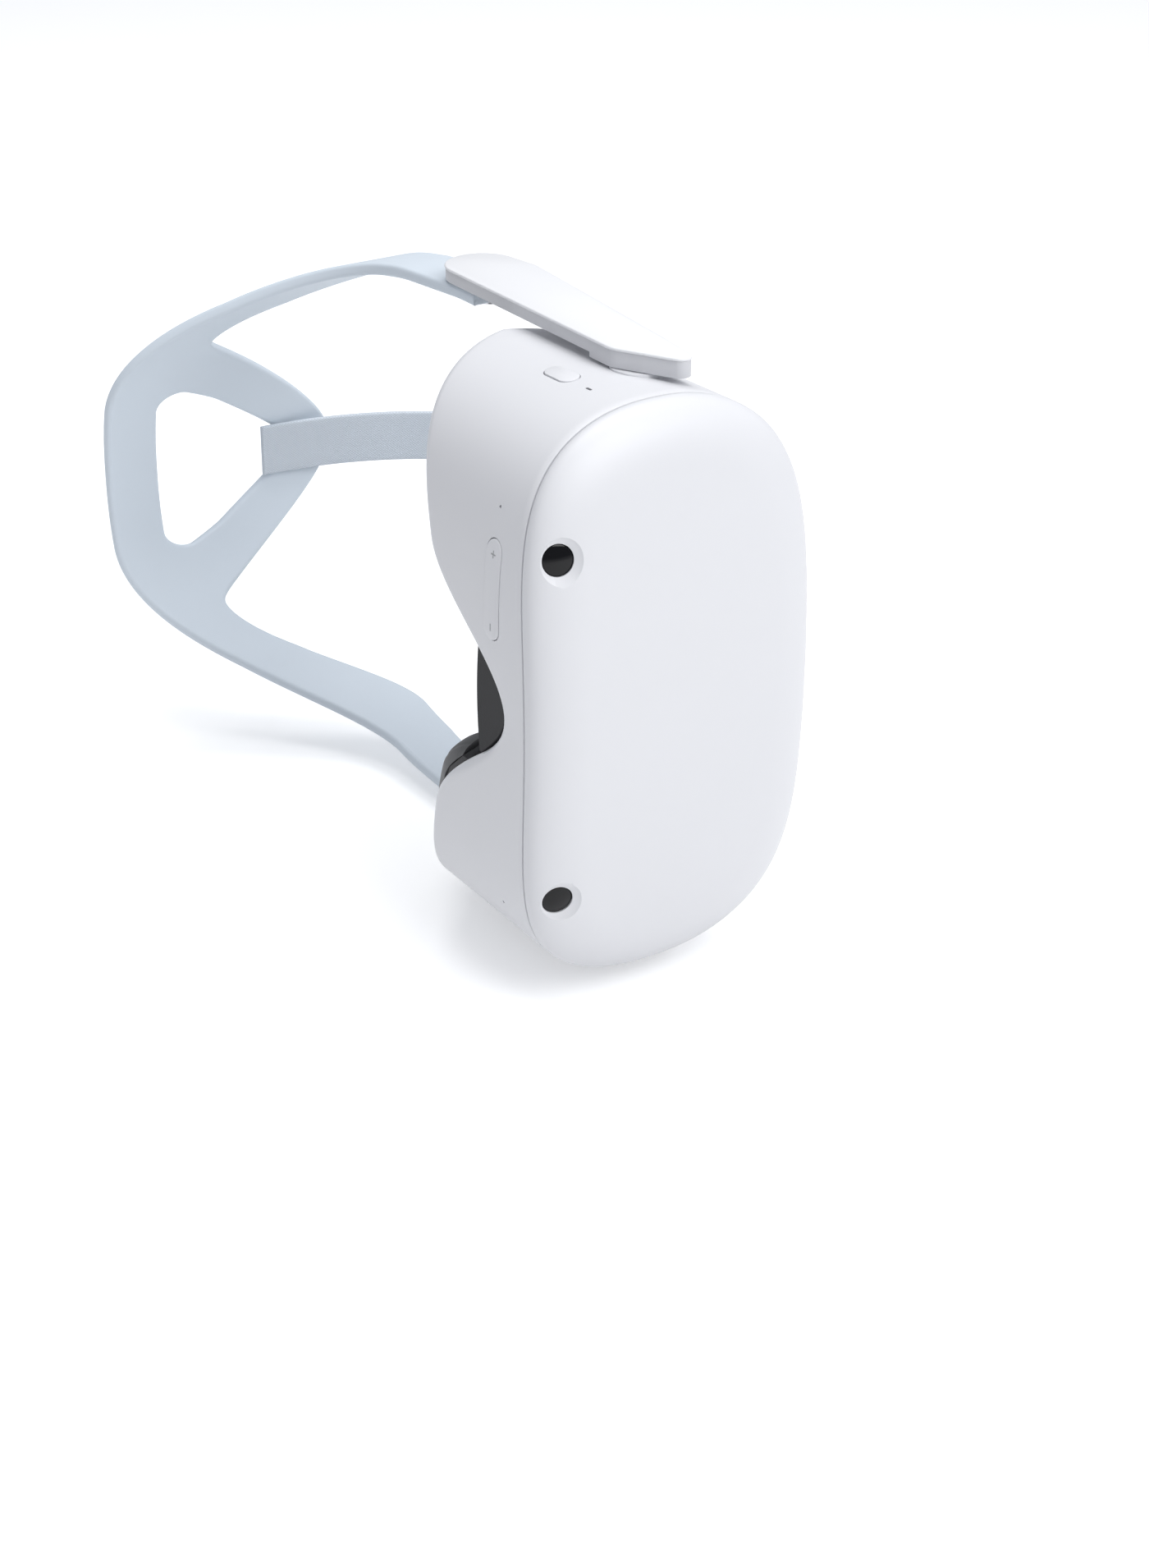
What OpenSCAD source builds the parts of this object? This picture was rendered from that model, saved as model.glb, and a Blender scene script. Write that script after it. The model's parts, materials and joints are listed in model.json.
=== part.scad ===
// Stand-alone VR headset: visor, two swinging side arms, moulded head band and crown strap.
// X is the wearer's up, Y points to the back of the head, Z is the wearer's right.
// The headset stands on its left arm, as it does in a charging cradle. The origin is the
// point where the arms' hinge axis meets the left arm's flat outer face.

/* [Visor shell] */
// Height of the visor's outline, brow to cheek
visor_h = 97.5; // [94:0.5:104]
// Width of the visor's outline, temple to temple
visor_w = 178.5; // [174:0.5:182]
// Fullness of the outline across the width (2 is an ellipse)
side_power = 4.8; // [4:0.1:6]
// Fullness of the outline across the height
brow_power = 2.2; // [2:0.1:2.6]
// How fast the seam between front plate and shell falls back towards the sides
seam_bend = 0.0011; // [0.0006:0.0001:0.0014]
// Wall of the shell and of the front plate
wall = 2; // [1.6:0.1:2.4]
// Width of the seam groove
seam_gap = 0.5; // [0.3:0.1:0.8]
// Depth of the front plate's straight edge
plate_edge = 1.5; // [1:0.1:3]
// Depth of the front plate's rounded edge
plate_round = 8.5; // [7:0.1:9.5]
// How far the rounded edge runs in over the front
plate_inset = 16; // [12:0.5:20]
// Extra bulge at the centre of the front plate
plate_crown = 0.8; // [0:0.1:2]

/* [Shell rim] */
// Distance of the cheek rim behind the seam plane
cheek_y = 49; // [44:0.5:52]
// Distance of the brow rim behind the seam plane
brow_y = 60; // [54:0.5:64]
// Distance of the temple rim behind the seam plane
temple_y = 90; // [84:0.5:92]
// Depth of the notch for the nose
nose_depth = 33; // [28:0.5:34]
// Half width of the notch for the nose
nose_half_w = 44; // [40:0.5:50]
// Radius that rolls the rim inwards
rim_round = 6; // [4:0.5:8]

/* [Cameras] */
// Distance of a camera in from the outline
camera_inset = 6.3; // [5.8:0.1:10]
// Sideways distance of the two lower cameras from the middle
camera_low_z = 53.5; // [46:0.5:60]
// Sideways distance of the two upper cameras, in the brow wall, from the middle
camera_high_z = 57; // [46:0.5:57]
// Tilt of a camera away from straight ahead
camera_tilt = 15; // [10:0.1:24]
// Radius of a camera's glass dome
camera_r = 4.6; // [4:0.1:5]
// Depth of a camera's glass below the plate's face
camera_sunk = 1.7; // [0.6:0.1:2.2]
// Flare of the recess round a camera, width over depth
camera_flare = 1.3; // [0.8:0.1:1.6]
// Bulge of a camera's glass
camera_dome = 0.6; // [0.3:0.1:1]

/* [Buttons and ports] */
// Length of the volume rocker
rocker_len = 30; // [24:0.5:34]
// Width of the volume rocker
rocker_w = 7.6; // [6:0.1:9]
// Centre of the rocker behind the seam plane
rocker_y = 17.4; // [16:0.1:20]
// Sideways place of the rocker's centre
rocker_z = 39; // [34:0.5:44]
// Length of the power button
power_len = 13; // [10:0.5:15]
// Width of the power button
power_w = 6.6; // [5:0.1:8]
// Travel of the power button
power_travel = 0.5; // [0.3:0.05:0.8]
// Radius of the headphone socket's bore
jack_r = 1.8; // [1.75:0.05:2]
// Length of the headphone socket's bore
jack_len = 14; // [12:0.5:15]
// How far the buttons stand proud of the shell
button_proud = 0.4; // [0.1:0.1:0.8]

/* [Arms] */
// Overall width over both arms
arms_w = 191.5; // [190:0.5:196]
// Thickness of an arm, cover included
arm_t = 4.5; // [4.2:0.1:6]
// Thickness of an arm's cover
cover_t = 1; // [0.8:0.1:1.2]
// Height of the hinge axis above the visor's centre
pivot_x = 13.2; // [11:0.1:16]
// Hinge axis behind the seam plane
pivot_y = 33; // [30:0.5:36]
// Radius of the hinge pin
pin_r = 4; // [3:0.1:5]
// Running clearance of the hinge pin
pin_gap = 0.05; // [0.02:0.01:0.1]
// Rear end of an arm behind the seam plane
arm_rear_y = 135.8; // [132:0.5:146]
// Travel of the band in the arms for fitting
strap_travel = 10; // [6:0.5:12]

/* [Head band] */
// Rear of the band behind the seam plane
band_rear_y = 252; // [244:0.5:264]
// Half width of the band at the ears
band_half_w = 88; // [87:0.25:89]
// Thickness of the band
band_t = 4; // [3:0.1:4.4]
// Length of one side of the band along its curve, from the rear to the arm
band_len = 188.75; // [186.5:0.25:190]
// Lowest point of the band
band_low_x = -59; // [-66:0.5:-56]
// Width of the crown strap
crown_w = 18; // [15:0.5:20]
// Thickness of the crown strap
crown_t = 2; // [1.6:0.1:2.4]

/* [Optics] */
// Distance between the two lenses' centres
eye_spacing = 63; // [61:0.5:64]
// Travel of each lens either way
lens_travel = 2.5; // [2:0.1:3]
// Outer radius of a lens barrel
barrel_r = 23.5; // [22:0.25:24]
// Wall of a lens barrel
barrel_wall = 1.6; // [1.2:0.1:2]

/* [Part to draw] */
// Name of one piece, or all

/* [Hidden] */
$fn = 48;
fit = 0.3;
a = visor_h / 2;
b = visor_w / 2;
arm_out_z = arms_w / 2;
arm_in_z = arm_out_z - arm_t;
cover_in_z = arm_out_z - cover_t;
RING = 84;

// ---- shared placing ----
module headset() translate([-pivot_x, -pivot_y, arm_out_z]) children();
module both_sides() {
    children();
    mirror([0, 0, 1]) children();
}
module on_side(s) {
    if (s > 0) children();
    else mirror([0, 0, 1]) children();
}
// Turns a piece that was drawn along +Z so that it points along v
module aim(v) rotate([0, acos(v[2] / norm(v)), atan2(v[1], v[0])]) children();
// An extrusion along Y whose drawing's x and y are the headset's X and Z
module along_y(y0, y1) translate([0, y1, 0]) rotate([90, 0, 0]) linear_extrude(y1 - y0) children();
// A cylinder along Y
module rod_y(r, y0, y1) translate([0, y0, 0]) rotate([-90, 0, 0]) cylinder(r = r, h = y1 - y0);
module box(lo, hi) translate(lo) cube(hi - lo);
module slot(len, w) {
    square([w, len - w], center = true);
    for (i = [-1, 1]) translate([0, i * (len - w) / 2]) circle(d = w);
}

// ---- curves ----
function smooth(t) = let(u = min(1, max(0, t))) u * u * (3 - 2 * u);
function mix(p, q, t) = p + (q - p) * t;
// Point of the visor's outline, drawn in by e; t runs from the cheek over the right temple
function outline(t, e = 0) =
    let(s = sin(t), z = (b - e) * s)
    [-sign(cos(t)) * (a - e) * pow(max(0, 1 - pow(abs(s), side_power)), 1 / brow_power), z];
// Height of the outline above the middle plane at a sideways place z, and width at a height x
function outline_x(z, e = 0) = (a - e) * pow(max(0, 1 - pow(abs(z / (b - e)), side_power)), 1 / brow_power);
function outline_z(x, e = 0) = (b - e) * pow(max(0, 1 - pow(abs(x / (a - e)), brow_power)), 1 / side_power);
function seam_y(z) = seam_bend * z * z;
function nose_y(z) = nose_depth * (1 + cos(180 * min(1, abs(z) / nose_half_w))) / 2;
// The rim of the shell, without the nose notch
function rim_base(x) =
    let(v = 1 - abs(x) / a)
    x < 0 ? cheek_y + (temple_y - cheek_y) * pow(max(0, v), 0.42)
          : brow_y + (temple_y - brow_y) * pow(max(0, v), 0.6);
function rim_y(x, z) = rim_base(x) - (x < 0 ? nose_y(z) * smooth(-x / 20) : 0);
// Depth of the front plate's face in front of the seam, e in from the outline
function plate_depth(e) =
    let(c = 1 - min(1, e / plate_inset))
    plate_edge + plate_round * sqrt(max(0, 1 - c * c));
function plate_y(x, z, e) = seam_y(z) - plate_depth(e) - plate_crown * max(0, 1 - pow(norm([x / a, z / b]), 2));

// ---- meshes from rings of points ----
function ring_faces(i, j, n) = [for (k = [0 : n - 1]) let(m = (k + 1) % n)
    each [[i * n + k, i * n + m, j * n + m], [i * n + k, j * n + m, j * n + k]]];
// The same with the quads cut along their other diagonal
function ring_faces_2(i, j, n) = [for (k = [0 : n - 1]) let(m = (k + 1) % n)
    each [[i * n + k, i * n + m, j * n + k], [i * n + m, j * n + m, j * n + k]]];
// Rings that close on themselves like a tyre
module tyre_mesh(rings) {
    n = len(rings[0]);
    r = len(rings);
    polyhedron([for (q = rings) each q], [for (i = [0 : r - 1]) each ring_faces((i + 1) % r, i, n)]);
}
// Rings between two end points
module capped_mesh(first, rings, last) {
    n = len(rings[0]);
    r = len(rings);
    polyhedron(
        concat([for (q = rings) each q], [first, last]),
        concat(
            [for (i = [0 : r - 2]) each ring_faces(i + 1, i, n)],
            [for (k = [0 : n - 1]) [k, (k + 1) % n, r * n]],
            [for (k = [0 : n - 1]) [(r - 1) * n + (k + 1) % n, (r - 1) * n + k, r * n + 1]]
        )
    );
}
// Sections that run from one end to the other, with flat ends
module strip_mesh(sections, other = false) {
    n = len(sections[0]);
    r = len(sections);
    polyhedron(
        [for (q = sections) each q],
        concat(
            [for (i = [0 : r - 2]) each (other ? ring_faces_2(i, i + 1, n) : ring_faces(i, i + 1, n))],
            [for (k = [1 : n - 2]) [0, k + 1, k]],
            [for (k = [1 : n - 2]) [(r - 1) * n, (r - 1) * n + k, (r - 1) * n + k + 1]]
        )
    );
}

// ---- front plate ----
PLATE_STEPS = [90, 75, 60, 45, 30, 15, 0];
function plate_ring(e, inner) = [for (k = [0 : RING - 1])
    let(t = 360 * k / RING, p = outline(t, e + inner))
    [p[0], plate_y(p[0], p[1], e) + inner, p[1]]];
function plate_core(f, inner) = [for (k = [0 : RING - 1])
    let(t = 360 * k / RING, p = f * outline(t, plate_inset + inner))
    [p[0], plate_y(p[0], p[1], plate_inset) + inner, p[1]]];
function plate_lip(inner) = [for (k = [0 : RING - 1])
    let(p = outline(360 * k / RING, inner))
    [p[0], seam_y(p[1]) - seam_gap / 2, p[1]]];
function plate_skin(inner) = concat(
    [for (f = [0.3, 0.6, 0.85]) plate_core(f, inner)],
    [for (c = PLATE_STEPS) plate_ring(plate_inset * (1 - cos(c)), inner)],
    [plate_lip(inner)]
);
module plate_solid() {
    outer = plate_skin(0);
    inner = plate_skin(wall);
    n = len(inner);
    capped_mesh(
        [0, plate_y(0, 0, plate_inset), 0],
        concat(outer, [for (i = [n - 1 : -1 : 0]) inner[i]]),
        [0, plate_y(0, 0, plate_inset) + wall, 0]
    );
}
module front_plate() headset() color("white") difference() {
    plate_solid();
    for (i = [0, 1]) camera_recess(CAMERAS[i]);
}

// ---- cameras: [up or down, right or left, sideways distance, depth of the glass] ----
// The lower two look out of the front plate, the upper two out of the shell's brow wall
brow_sunk = 0.8;
brow_camera_y = 13;
CAMERAS = [[-1, 1, camera_low_z, camera_sunk], [-1, -1, camera_low_z, camera_sunk],
    [1, 1, camera_high_z, brow_sunk], [1, -1, camera_high_z, brow_sunk]];
module camera_recess(c) camera_place(c) {
    translate([0, 0, -9]) cylinder(r = camera_r + window_gap, h = 18);
    translate([0, 0, -c[3]]) cylinder(
        r1 = camera_r + 0.25, r2 = camera_r + 0.25 + 6 * camera_flare, h = 6, $fn = 64);
}
window_gap = 0.1;
window_t = 3;
seal_t = 1.2;
function camera_back(c) = c[3] + 0.3 + window_t + seal_t;
camera_len = 4.4;
function camera_pos(c) =
    let(x = c[0] * outline_x(c[2], c[0] > 0 ? 0.15 : camera_inset), z = c[1] * c[2])
    [x, c[0] > 0 ? brow_camera_y : plate_y(x, z, camera_inset), z];
// Square to the wall; on the plate, tilted outwards across the outline and with the sweep of the seam
function camera_dir(c) =
    let(x = outline_x(c[2]), gx = brow_power * pow(x / a, brow_power - 1) / a,
        gz = side_power * pow(c[2] / b, side_power - 1) / b, g = norm([gx, gz]))
    c[0] > 0 ? [gx / g, 0, c[1] * gz / g]
    : [-sin(camera_tilt) * gx / g, -cos(camera_tilt),
        c[1] * (sin(camera_tilt) * gz / g + 2 * seam_bend * c[2] * cos(camera_tilt))];
module camera_place(c) translate(camera_pos(c)) aim(camera_dir(c)) children();
module camera_module(c) headset() color([0.1, 0.1, 0.11]) camera_place(c) {
    translate([0, 0, -camera_back(c) - 2]) cylinder(r = camera_r + 0.7, h = 2);
    translate([0, 0, -camera_back(c) - camera_len]) cylinder(r = camera_r - 0.4, h = camera_len - 1);
}
module camera_lower_right() camera_module(CAMERAS[0]);
module camera_lower_left() camera_module(CAMERAS[1]);
module camera_upper_right() camera_module(CAMERAS[2]);
module camera_upper_left() camera_module(CAMERAS[3]);
module camera_seals() headset() color([0.05, 0.05, 0.05]) for (c = CAMERAS) camera_place(c)
    translate([0, 0, -camera_back(c)]) difference() {
        cylinder(r = camera_r + 0.7, h = seal_t);
        translate([0, 0, -1]) cylinder(r = camera_r - 1.4, h = seal_t + 2);
    }
module camera_windows() headset() color("black") for (c = CAMERAS) camera_place(c)
    translate([0, 0, -camera_back(c) + seal_t]) rotate_extrude() {
        square([camera_r, window_t]);
        intersection() {
            translate([0, window_t + camera_dome - dome_r]) circle(r = dome_r, $fn = 128);
            translate([0, window_t - 0.5]) square([camera_r, 3]);
        }
    }
dome_r = (camera_r * camera_r + camera_dome * camera_dome) / 2 / camera_dome;

// ---- main shell ----
RIM_ROLL = [0, 30, 60, 90];
lip_in = rim_round + wall;
function shell_ring(f, back, e) = [for (k = [0 : RING - 1])
    let(t = 360 * k / RING, q = outline(t), p = outline(t, e),
        y0 = seam_y(q[1]) + seam_gap / 2, y1 = rim_y(q[0], q[1]) - rim_round)
    [p[0], mix(y0, y1, f) + back, p[1]]];
SHELL_SKIN = concat(
    [for (f = [0, 0.2, 0.4, 0.6, 0.8]) shell_ring(f, 0, f)],
    [for (c = RIM_ROLL) shell_ring(1, (rim_round - 0.5) * sin(c), 1 + (rim_round - 1) * (1 - cos(c)))],
    [shell_ring(1, rim_round - 0.5, lip_in)],
    [for (c = [60, 20]) shell_ring(1, (rim_round - wall) * sin(c), lip_in - 0.6 - (rim_round - wall - 1) * cos(c))],
    [for (f = [0.8, 0.6, 0.4, 0.2, 0]) shell_ring(f, 0, f + wall)]
);
// A solid that follows the outline at a stated distance e in, for pieces set in the wall
module outline_solid(e, y0, y1) along_y(y0, y1) polygon([for (k = [0 : RING - 1]) outline(360 * k / RING, e)]);
POSTS = [[1, 1], [1, -1], [-1, 1], [-1, -1]];
post_z = 66.5;
post_r = 3;
frame_y = 8;
frame_t = 2.5;
post_len = 12;
function post_x(s) = s * (outline_x(post_z + 1.2, wall + 0.3) - post_r + 0.7);
pedestal_r = 9.5;
pedestal_z = b + 0.2;
pedestal_in_z = b - 9;
module rocker_window(grow) translate([-a, rocker_y, rocker_z]) rotate([90, 0, 90]) linear_extrude(12, center = true)
    slot(rocker_len + 2 * grow, rocker_w + 2 * grow);
power_x = -9.2;
power_y = 40.6;
module power_window(grow) translate([power_x, power_y, b - 5]) linear_extrude(10)
    slot(power_len + 2 * grow, power_w + 2 * grow);
light_x = -10;
light_y = 25.8;
light_len = 2.6;
light_w = 0.8;
module light_window(grow) translate([light_x, light_y, b - 5]) linear_extrude(10)
    slot(light_len + 2 * grow, light_w + 2 * grow);
usb_x = -10;
usb_y = 38;
usb_len = 9;
usb_w = 3.2;
usb_wall = 0.8;
jack_x = -13;
jack_y = 58;
jack_wall = 1.4;
MICS = [[-1, 62.7, 18.7], [-1, -62.7, 18.7], [1, 30, 20]];
mic_r = 0.5;
vent_z = [for (i = [-4 : 4]) i * 7];
vent_y = 30;
module shell_cuts() {
    rocker_window(fit);
    power_window(fit);
    light_window(0.05);
    translate([usb_x, usb_y, -b - 1]) linear_extrude(8) slot(usb_len + 2 * (usb_wall + 0.1), usb_w + 2 * (usb_wall + 0.1));
    translate([jack_x, jack_y, -b - 1]) cylinder(r = jack_r + jack_wall + 0.1, h = 8);
    for (m = MICS) translate([m[0] * outline_x(m[1]), m[2], m[1]]) rotate([0, 90, 0])
        cylinder(r = mic_r, h = 9, center = true);
    for (i = [2, 3]) camera_recess(CAMERAS[i]);
    both_sides() translate([pivot_x, pivot_y, pedestal_in_z - 2]) cylinder(r = pedestal_r + 0.1, h = 20);
    for (z = vent_z) translate([a - 6, vent_y, z]) rotate([90, 0, 90]) linear_extrude(12) slot(11, 2);
    translate([a - 6, anchor_y, 0]) rotate([90, 0, 90]) linear_extrude(12)
        square([anchor_len + 2 * fit, anchor_w + 2 * fit], center = true);
}
module shell_body() difference() {
    union() {
        tyre_mesh(SHELL_SKIN);
        for (s = POSTS) translate([post_x(s[0]), 0, s[1] * post_z])
            rod_y(post_r, frame_y + frame_t, frame_y + frame_t + post_len);
    }
    shell_cuts();
    for (s = POSTS) translate([post_x(s[0]), 0, s[1] * post_z]) rod_y(screw_r, frame_y, frame_y + frame_t + post_len - 2);
}

// The shell is moulded in two halves that meet in the hinge sides' middle plane
module shell_upper() headset() color("white") difference() {
    shell_body();
    box([-a - 9, -20, -b - 9], [0, 120, b + 9]);
}
module shell_lower() headset() color("white") difference() {
    shell_body();
    box([0, -20, -b - 9], [a + 9, 120, b + 9]);
}

// Round base set in the shell's side, which carries an arm's pin
module hinge_base() headset() color("white") translate([pivot_x, pivot_y, pedestal_in_z]) difference() {
    cylinder(r = pedestal_r, h = pedestal_z - pedestal_in_z);
    translate([0, 0, -1]) cylinder(r = pin_r + pin_gap, h = 20);
}
module hinge_base_right() hinge_base();
module hinge_base_left() left() hinge_base();

// ---- chassis and electronics ----
screw_r = 1.2;
nose_cut_z = 16;
nose_cut_x = -36;
rail_x = 27.5;
rail_y = 21;
rail_r = 1.5;
rail_end_z = 54;
rail_low_z = 17.5;
rail_post = 3;
rear_y = frame_y + frame_t;
board_gap = 1.6;
board_t = 1.4;
board_lo = [-26, 24];
board_hi = [26, 68];
board_y = frame_y - board_gap - board_t;
module rail_block(x, z0) translate([x - rail_post, rear_y, z0]) cube([2 * rail_post, rail_y + rail_post - rear_y, 3]);
module inner_frame() headset() color([0.45, 0.46, 0.48]) difference() {
    union() {
        difference() {
            outline_solid(wall + 0.6, frame_y, rear_y);
            along_y(frame_y - 1, rear_y + 1) translate([-a, -nose_cut_z]) square([a + nose_cut_x - 2, 2 * nose_cut_z]);
        }
        for (s = [-1, 1]) for (z = [board_lo[1] + 3, board_hi[1] - 3])
            translate([s * (board_hi[0] - 3), 0, z]) rod_y(2, frame_y - board_gap, frame_y);
        both_sides() {
            rail_block(rail_x, rail_end_z - 3);
            rail_block(-rail_x, rail_end_z - 3);
            rail_block(-rail_x, rail_low_z);
        }
        translate([pinion_x, 0, 0]) rod_y(3, rear_y, pinion_y - fit / 2);
        translate([pinion_x, 0, 0]) rod_y(rail_r, rear_y, pinion_y + pinion_t + 1);
    }
    both_sides() translate([-rail_x, rail_y, rail_low_z]) cylinder(r = rail_r, h = rail_end_z - rail_low_z + 1);
    translate([rail_x, rail_y, -rail_end_z - 1]) cylinder(r = rail_r, h = 2 * rail_end_z + 2);
    for (s = POSTS) translate([post_x(s[0]), 0, s[1] * post_z]) rod_y(screw_r + 0.3, frame_y - 1, rear_y + 1);
    for (i = [2, 3]) camera_place(CAMERAS[i]) translate([0, 0, -14]) cylinder(r = camera_r + 2, h = 20);
}
module frame_screws() headset() color([0.6, 0.6, 0.62]) for (s = POSTS) translate([post_x(s[0]), 0, s[1] * post_z])
    difference() {
        union() {
            rod_y(2.2, frame_y - 1.6, frame_y);
            rod_y(screw_r - 0.05, frame_y - 0.5, rear_y + post_len - 3);
        }
        translate([0, frame_y - 1.7, 0]) rotate([-90, 0, 0]) cylinder(r = 1, h = 1, $fn = 6);
    }
module main_board() headset() color([0.05, 0.3, 0.16]) {
    box([board_lo[0], board_y, board_lo[1]], [board_hi[0], board_y + board_t, board_hi[1]]);
    for (x = [-25, 20]) box([x, board_y - 1.2, board_lo[1] + 4], [x + 5, board_y, board_lo[1] + 18]);
}
sink_n = 9;
sink_w = 34;
module heat_sink() headset() color([0.6, 0.62, 0.65]) {
    box([-sink_w / 2, board_y - 1.4, 30], [sink_w / 2, board_y, 64]);
    for (i = [0 : sink_n - 1]) translate([-sink_w / 2 + i * (sink_w - 1) / (sink_n - 1), board_y - 4, 30]) cube([1, 2.7, 34]);
}
module battery() headset() color([0.12, 0.12, 0.14]) box([-24, frame_y - 6.2, -70], [24, frame_y, -26]);
fan_r = 15.6;
fan_gap = 0.8;
fan_t = 7;
module fan_housing() headset() color([0.15, 0.15, 0.16]) {
    difference() {
        box([-19, frame_y - fan_t, -19], [19, frame_y, 19]);
        rod_y(fan_r + fan_gap, frame_y - fan_t - 1, frame_y - 1);
        translate([0, frame_y - fan_t + 1, -30]) box([-12, 0, 0], [12, fan_t - 2, 20]);
    }
    rod_y(rail_r, frame_y - fan_t + 0.4, frame_y - 0.5);
}
module fan_rotor() headset() color([0.2, 0.2, 0.22]) difference() {
    union() {
        rod_y(7, frame_y - fan_t + 0.8, frame_y - 1.6);
        for (i = [0 : 8]) rotate([0, i * 40, 0]) translate([0, frame_y - fan_t + 1.2, 0]) rotate([0, 25, 0])
            translate([5, 0, -0.5]) cube([fan_r - 7, fan_t - 3.2, 1]);
    }
    rod_y(rail_r + pin_gap, frame_y - fan_t - 1, frame_y);
}
display_t = 2;
module display_panel() headset() color([0.03, 0.03, 0.05]) box([-24, rear_y, -50], [24, rear_y + display_t, 50]);

// ---- lenses and the gear that moves them together ----
barrel_y0 = 15.5;
barrel_y1 = 46;
lens_edge = 3;
pinion_teeth = 12;
pinion_mod = 0.8;
pinion_x = 34.5;
pinion_y = 25.5;
pinion_t = 3;
pinion_r = pinion_teeth * pinion_mod / 2;
gear_play = 0.14;
tooth_top = 0.7 * pinion_mod;
tooth_foot = 0.95 * pinion_mod;
rack_back = 2;
rack_end = 8;
function involute_angle(r, base) = let(c = base / r, q = acos(min(1, c))) tan(q) * 180 / PI - q;
// One flank of a tooth from its foot to its top, as radius and angle from the tooth's middle
function flank(base) = let(half = 90 / pinion_teeth - gear_play / 2 / pinion_r * 180 / PI)
    [for (i = [0 : 5]) let(r = mix(max(base, pinion_r - tooth_foot), pinion_r + tooth_top, i / 5))
        [r, half - (involute_angle(r, base) - involute_angle(pinion_r, base))]];
module focus_pinion() headset() color([0.85, 0.85, 0.8]) translate([pinion_x, 0, 0]) difference() {
    base = pinion_r * cos(20);
    f = flank(base);
    along_y(pinion_y, pinion_y + pinion_t) union() {
        circle(r = pinion_r - tooth_foot);
        for (i = [0 : pinion_teeth - 1]) rotate(i * 360 / pinion_teeth) polygon(concat(
            [[0, 0]],
            [for (p = f) p[0] * [cos(p[1]), -sin(p[1])]],
            [for (i = [5 : -1 : 0]) f[i][0] * [cos(f[i][1]), sin(f[i][1])]]
        ));
    }
    rod_y(rail_r + pin_gap, pinion_y - 1, pinion_y + pinion_t + 1);
}
// Rack along the headset's Z with a gap at z = 0; its teeth point to -X
module rack(z0, z1) {
    step = PI * pinion_mod;
    half = step / 4 - gear_play / 4;
    n0 = ceil((z0 + step) / step);
    n1 = floor((z1 - step) / step);
    along_y(pinion_y, pinion_y + pinion_t) union() {
        translate([tooth_foot, z0]) square([rack_back, z1 - z0]);
        for (i = [n0 : n1]) translate([0, (i + 0.5) * step]) polygon([
            [tooth_foot + 0.1, -half - (tooth_foot + 0.1) * tan(20)], [-tooth_top, -half + tooth_top * tan(20)],
            [-tooth_top, half - tooth_top * tan(20)], [tooth_foot + 0.1, half + (tooth_foot + 0.1) * tan(20)]]);
    }
}
module barrel_tube() difference() {
    rod_y(barrel_r, barrel_y0, barrel_y1);
    rod_y(barrel_r - barrel_wall - 1, barrel_y0 - 1, barrel_y1);
    rod_y(barrel_r - barrel_wall, barrel_y1 - lens_edge, barrel_y1 + 1);
}
module barrel_ear(s) difference() {
    box([s > 0 ? 16 : -rail_x - rail_post, rail_y - rail_post, -6],
        [s > 0 ? rail_x + rail_post : -16, rail_y + rail_post, 6]);
    rod_y(barrel_r - 0.5, 0, barrel_y1);
}
module barrel(s) translate([0, 0, s * eye_spacing / 2]) difference() {
    union() {
        barrel_tube();
        barrel_ear(1);
        barrel_ear(-1);
    }
    for (x = [-rail_x, rail_x]) translate([x, rail_y, -10]) cylinder(r = rail_r + pin_gap, h = 20);
}
rack_join_z = 27;
rack_join = 8;
// The lens assemblies hold a rack above and below the pinion
module lens_barrel_right() headset() color([0.12, 0.12, 0.13]) {
    barrel(1);
    translate([pinion_x + pinion_r, 0, 0]) rack(-rack_end, rack_join_z + rack_join);
    box([barrel_r - 1.2, pinion_y, rack_join_z], [pinion_x + pinion_r + tooth_foot + rack_back, pinion_y + pinion_t, rack_join_z + rack_join]);
}
module lens_barrel_left() headset() color([0.12, 0.12, 0.13]) {
    barrel(-1);
    translate([pinion_x - pinion_r, 0, 0]) mirror([1, 0, 0]) mirror([0, 0, 1]) rack(-rack_end, rack_join_z + rack_join);
    box([barrel_r - 1.2, pinion_y, -rack_join_z - rack_join], [pinion_x - pinion_r - tooth_foot, pinion_y + pinion_t, -rack_join_z]);
}
module eye_lens(s) headset() color([0.6, 0.7, 0.75, 0.5]) translate([0, barrel_y1, s * eye_spacing / 2])
    rotate([90, 0, 0]) rotate_extrude() {
        square([barrel_r - barrel_wall - 0.1, lens_edge]);
        translate([0, lens_edge - 0.01]) intersection() {
            square([barrel_r - barrel_wall - 1.4, 4]);
            translate([0, -58]) circle(r = 62, $fn = 128);
        }
    }
module lens_right() eye_lens(1);
module lens_left() eye_lens(-1);
module lens_rails() headset() color([0.75, 0.75, 0.77]) {
    translate([rail_x, rail_y, -rail_end_z]) cylinder(r = rail_r, h = 2 * rail_end_z);
    both_sides() translate([-rail_x, rail_y, rail_low_z]) cylinder(r = rail_r, h = rail_end_z - rail_low_z);
}

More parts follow.
